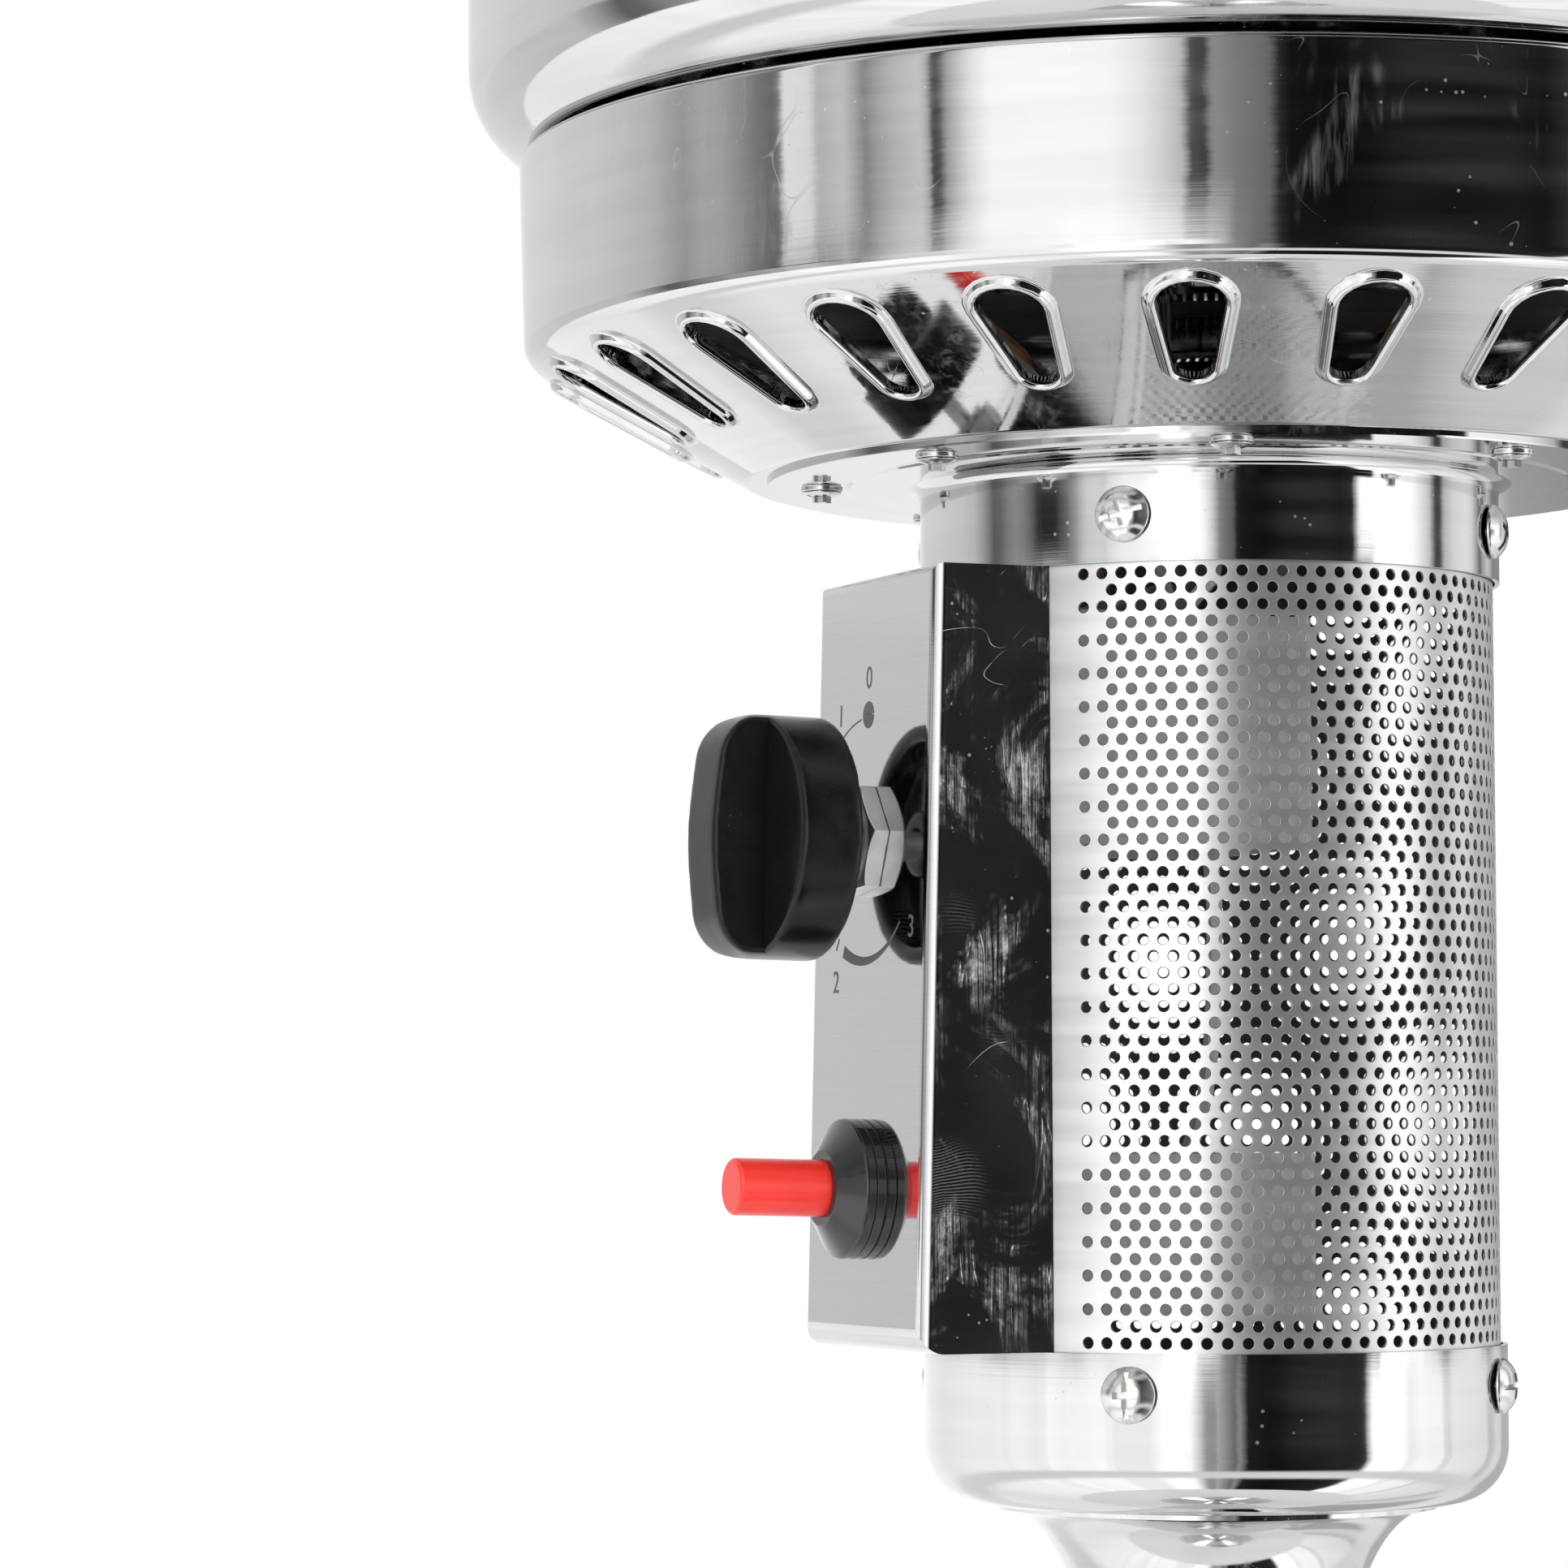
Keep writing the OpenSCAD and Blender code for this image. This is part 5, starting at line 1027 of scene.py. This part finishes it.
def lamp(name, place, target, size, power):
    data = bpy.data.lights.new(name, "AREA")
    data.shape, data.size, data.size_y, data.energy = "RECTANGLE", size[0], size[1], power
    made = placed(name, data)
    made.location = place
    made.rotation_mode = "QUATERNION"
    made.rotation_quaternion = (Vector(target) - Vector(place)).to_track_quat("-Z", "Y")
    return made


def floor():
    """A pale floor whose edge fades into the white background."""
    rings, n, outer = 24, 96, 4.0
    verts = [(0, 0, 0)]
    for k in range(1, rings + 1):
        r = outer * k / rings
        verts += [(r * cos(2 * pi * i / n), r * sin(2 * pi * i / n), 0) for i in range(n)]
    faces = [(0, 1 + i, 1 + (i + 1) % n) for i in range(n)]
    for k in range(rings - 1):
        a, b = 1 + k * n, 1 + (k + 1) * n
        faces += [(a + i, b + i, b + (i + 1) % n, a + (i + 1) % n) for i in range(n)]
    made = placed("floor", finish_mesh("floor", verts, faces))
    n = Nodes("floor")
    at = n.add("TexCoord").outputs["Object"]
    radius = n.vector("LENGTH", {0: at}, "Value")
    mottle = n.noise(at, 3.0, 3.0)
    pale = n.blend(mottle, (0.93, 0.93, 0.93, 1), (0.97, 0.97, 0.97, 1))
    shader = n.add("BsdfPrincipled", {"Base Color": pale, "Roughness": 0.7}).outputs[0]
    clear = n.add("BsdfTransparent").outputs[0]
    mix = n.add("MixShader", {0: n.ramp(radius, 0.35 * outer, 0.98 * outer), 1: shader, 2: clear})
    n.tree.links.new(mix.outputs[0], n.out.inputs[0])
    made.data.materials.append(n.material)


# What reflections see round the object, a screen of grey strips: azimuth, then the tone where the cup, the box, the
# collar and the band see it, straight between them. With three tones, box and collar share the middle one
SCREEN = [
    (-180, 1.2, 0.85, 0.85), (-160, 1.2, 0.87, 0.93, 0.92), (-140, 1.35, 0.8, 0.88, 0.9), (-131, 1.4, 0.78, 0.82),
    (-124, 1.4, 0.46, 0.74), (-119, 1.45, 0.17, 0.6), (-115, 1.4, 0.2, 0.5), (-111, 1.5, 0.32, 0.6),
    (-107, 1.5, 0.4, 0.58), (-103, 1.45, 0.5, 0.32, 0.44), (-99.5, 1.4, 0.5, 0.2, 0.3), (-96, 1.45, 0.6, 0.05, 0.22),
    (-94.8, 1.5, 0.5, 0.05, 0.3), (-93.8, 1.6, 0.75, 0.03, 1.2), (-89, 1.55, 0.8, 0.03, 1.1),
    (-87.5, 1.5, 0.7, 0.05, 0.72), (-83, 1.55, 0.5, 0.2, 0.85), (-81, 1.55, 0.35, 0.6), (-79.3, 1.55, 0.45, 0.36),
    (-77, 1.55, 0.7, 0.55), (-74, 1.6, 0.95, 0.72), (-70, 1.6, 1, 0.85), (-68.8, 1.5, 1, 0.6), (-68.1, 1.5, 1, 0.05),
    (-66.9, 1.5, 1, 0.1), (-65.8, 1.4, 1.1, 0.5), (-62, 1.4, 1.3, 1.15), (-59, 1.4, 1.4, 1.48), (-52, 1.4, 1.5, 1.5),
    (-47, 1.7, 1.4, 1.7, 1.52), (-41, 1.75, 3.4, 1.75, 1.5), (-36.5, 1.6, 3.4, 1.75, 1.3), (-33, 0.95, 1.4, 1.75, 1),
    (-30.8, 0.5, 1.5, 1.75, 0.8), (-29.4, 0.46, 1.6, 0.12), (-27.4, 0.45, 1.3, 0.08), (-26.2, 0.6, 1.1, 0.42),
    (-23, 0.4, 0.36, 0.32), (-20, 0.22, 0.24, 0.26), (-18, 0.4, 0.18, 0.22), (-16.6, 0.2, 0.03, 0.03),
    (-15, 0.02, 0.015, 0.01), (-3, 0.008, 0.006, 0.002), (10, 0.015, 0.008, 0.003), (24, 0.025, 0.01, 0.008),
    (29.5, 0.04, 0.03, 0.05), (31, 0.08, 0.01, 0.6, 1.2), (32.6, 0.9, 0.012, 1.6, 1.5),
    (34.5, 1.75, 0.015, 1.75, 1.7), (37.5, 1.75, 0.05, 1.75, 1.7), (39.5, 1.75, 1.9, 1.75, 1.7),
    (48, 1.75, 1.75, 1.7), (52, 1.4, 1.75, 1.6), (58, 1.55, 1.6, 1.4), (63, 1.5, 1.2, 1.2), (67, 1.5, 0.9, 1),
    (69.3, 1.5, 0.35, 0.5), (71, 1.2, 0.08, 0.3), (73.6, 1.1, 0.1, 0.4), (76.5, 1.3, 0.75, 0.9), (83, 1.25, 1.05, 1),
    (92, 1.2, 1.15, 1), (97, 1.15, 1, 0.9), (102, 1.1, 0.5, 0.6), (105, 0.8, 0.2, 0.4), (108, 0.8, 0.5, 0.8),
    (114, 1, 0.8, 0.8), (119, 0.9, 0.5, 0.3), (122, 0.6, 0.3, 0.04), (144, 0.5, 0.3, 0.02), (146.2, 0.6, 0.4, 0.05),
    (147.2, 1.1, 1.1, 1.1), (162, 1.15, 1, 1), (180, 1.2, 0.85, 0.85)]
SCREEN_R = 900.0
# Heights of the screen's rows, each with its cover and the column of its tone: a gap below the head keeps its
# underside pale
SCREEN_LEVELS = ((20.0, 0, 1), (120.0, 1, 1), (950.0, 1, 1), (1080.0, 0, 1), (1240.0, 0, 1), (1330.0, 1, 1),
                 (1650.0, 1, 1), (1660.0, 1, 2), (1908.0, 1, 2), (1918.0, 1, 3), (1940.0, 1, 3), (1972.0, 1, 4),
                 (2750.0, 1, 4), (3050.0, 0, 4))


def screen():
    """The strips as one sheet round the object that only reflections see."""
    verts, faces, cover, tone = [], [], [], []
    rows = len(SCREEN_LEVELS)
    for i, strip in enumerate(SCREEN):
        a = radians(strip[0])
        tones = (*strip[:3], *strip[-2:])
        for z, share, column in SCREEN_LEVELS:
            verts.append((SCREEN_R * cos(a) * MM, SCREEN_R * sin(a) * MM, z * MM))
            cover.append(float(share))
            tone.append(tones[column])
        if i:
            b = len(verts) - 2 * rows
            faces += [(b + k, b + rows + k, b + rows + k + 1, b + k + 1) for k in range(rows - 1)]
    mesh = finish_mesh("screen", verts, faces)
    for name, values in (("card_cover", cover), ("card_tone", tone)):
        mesh.attributes.new(name, "FLOAT", "POINT").data.foreach_set("value", values)
    made = placed("screen", mesh)
    n = Nodes("screen")
    fac = n.add("Attribute", attribute_name="card_cover").outputs["Fac"]
    grey = n.add("Attribute", attribute_name="card_tone").outputs["Fac"]
    card = n.add("Emission", {"Strength": grey}).outputs[0]
    clear = n.add("BsdfTransparent").outputs[0]
    n.tree.links.new(n.add("MixShader", {0: fac, 1: clear, 2: card}).outputs[0], n.out.inputs[0])
    mesh.materials.append(n.material)
    for kind in ("camera", "diffuse", "shadow", "transmission", "volume_scatter"):
        setattr(made, "visible_" + kind, False)


camera()
world()
floor()
screen()
lamp("key", (1.2, -2.6, 2.6), (0, 0, 1.5), (1.6, 1.8), 34)
lamp("fill", (2.9, 0.6, 1.9), (0, 0, 1.4), (1.4, 2.0), 22)
lamp("back", (-2.0, 2.2, 2.8), (0, 0, 1.3), (1.8, 1.8), 36)
bpy.context.scene.view_settings.view_transform = "Standard"
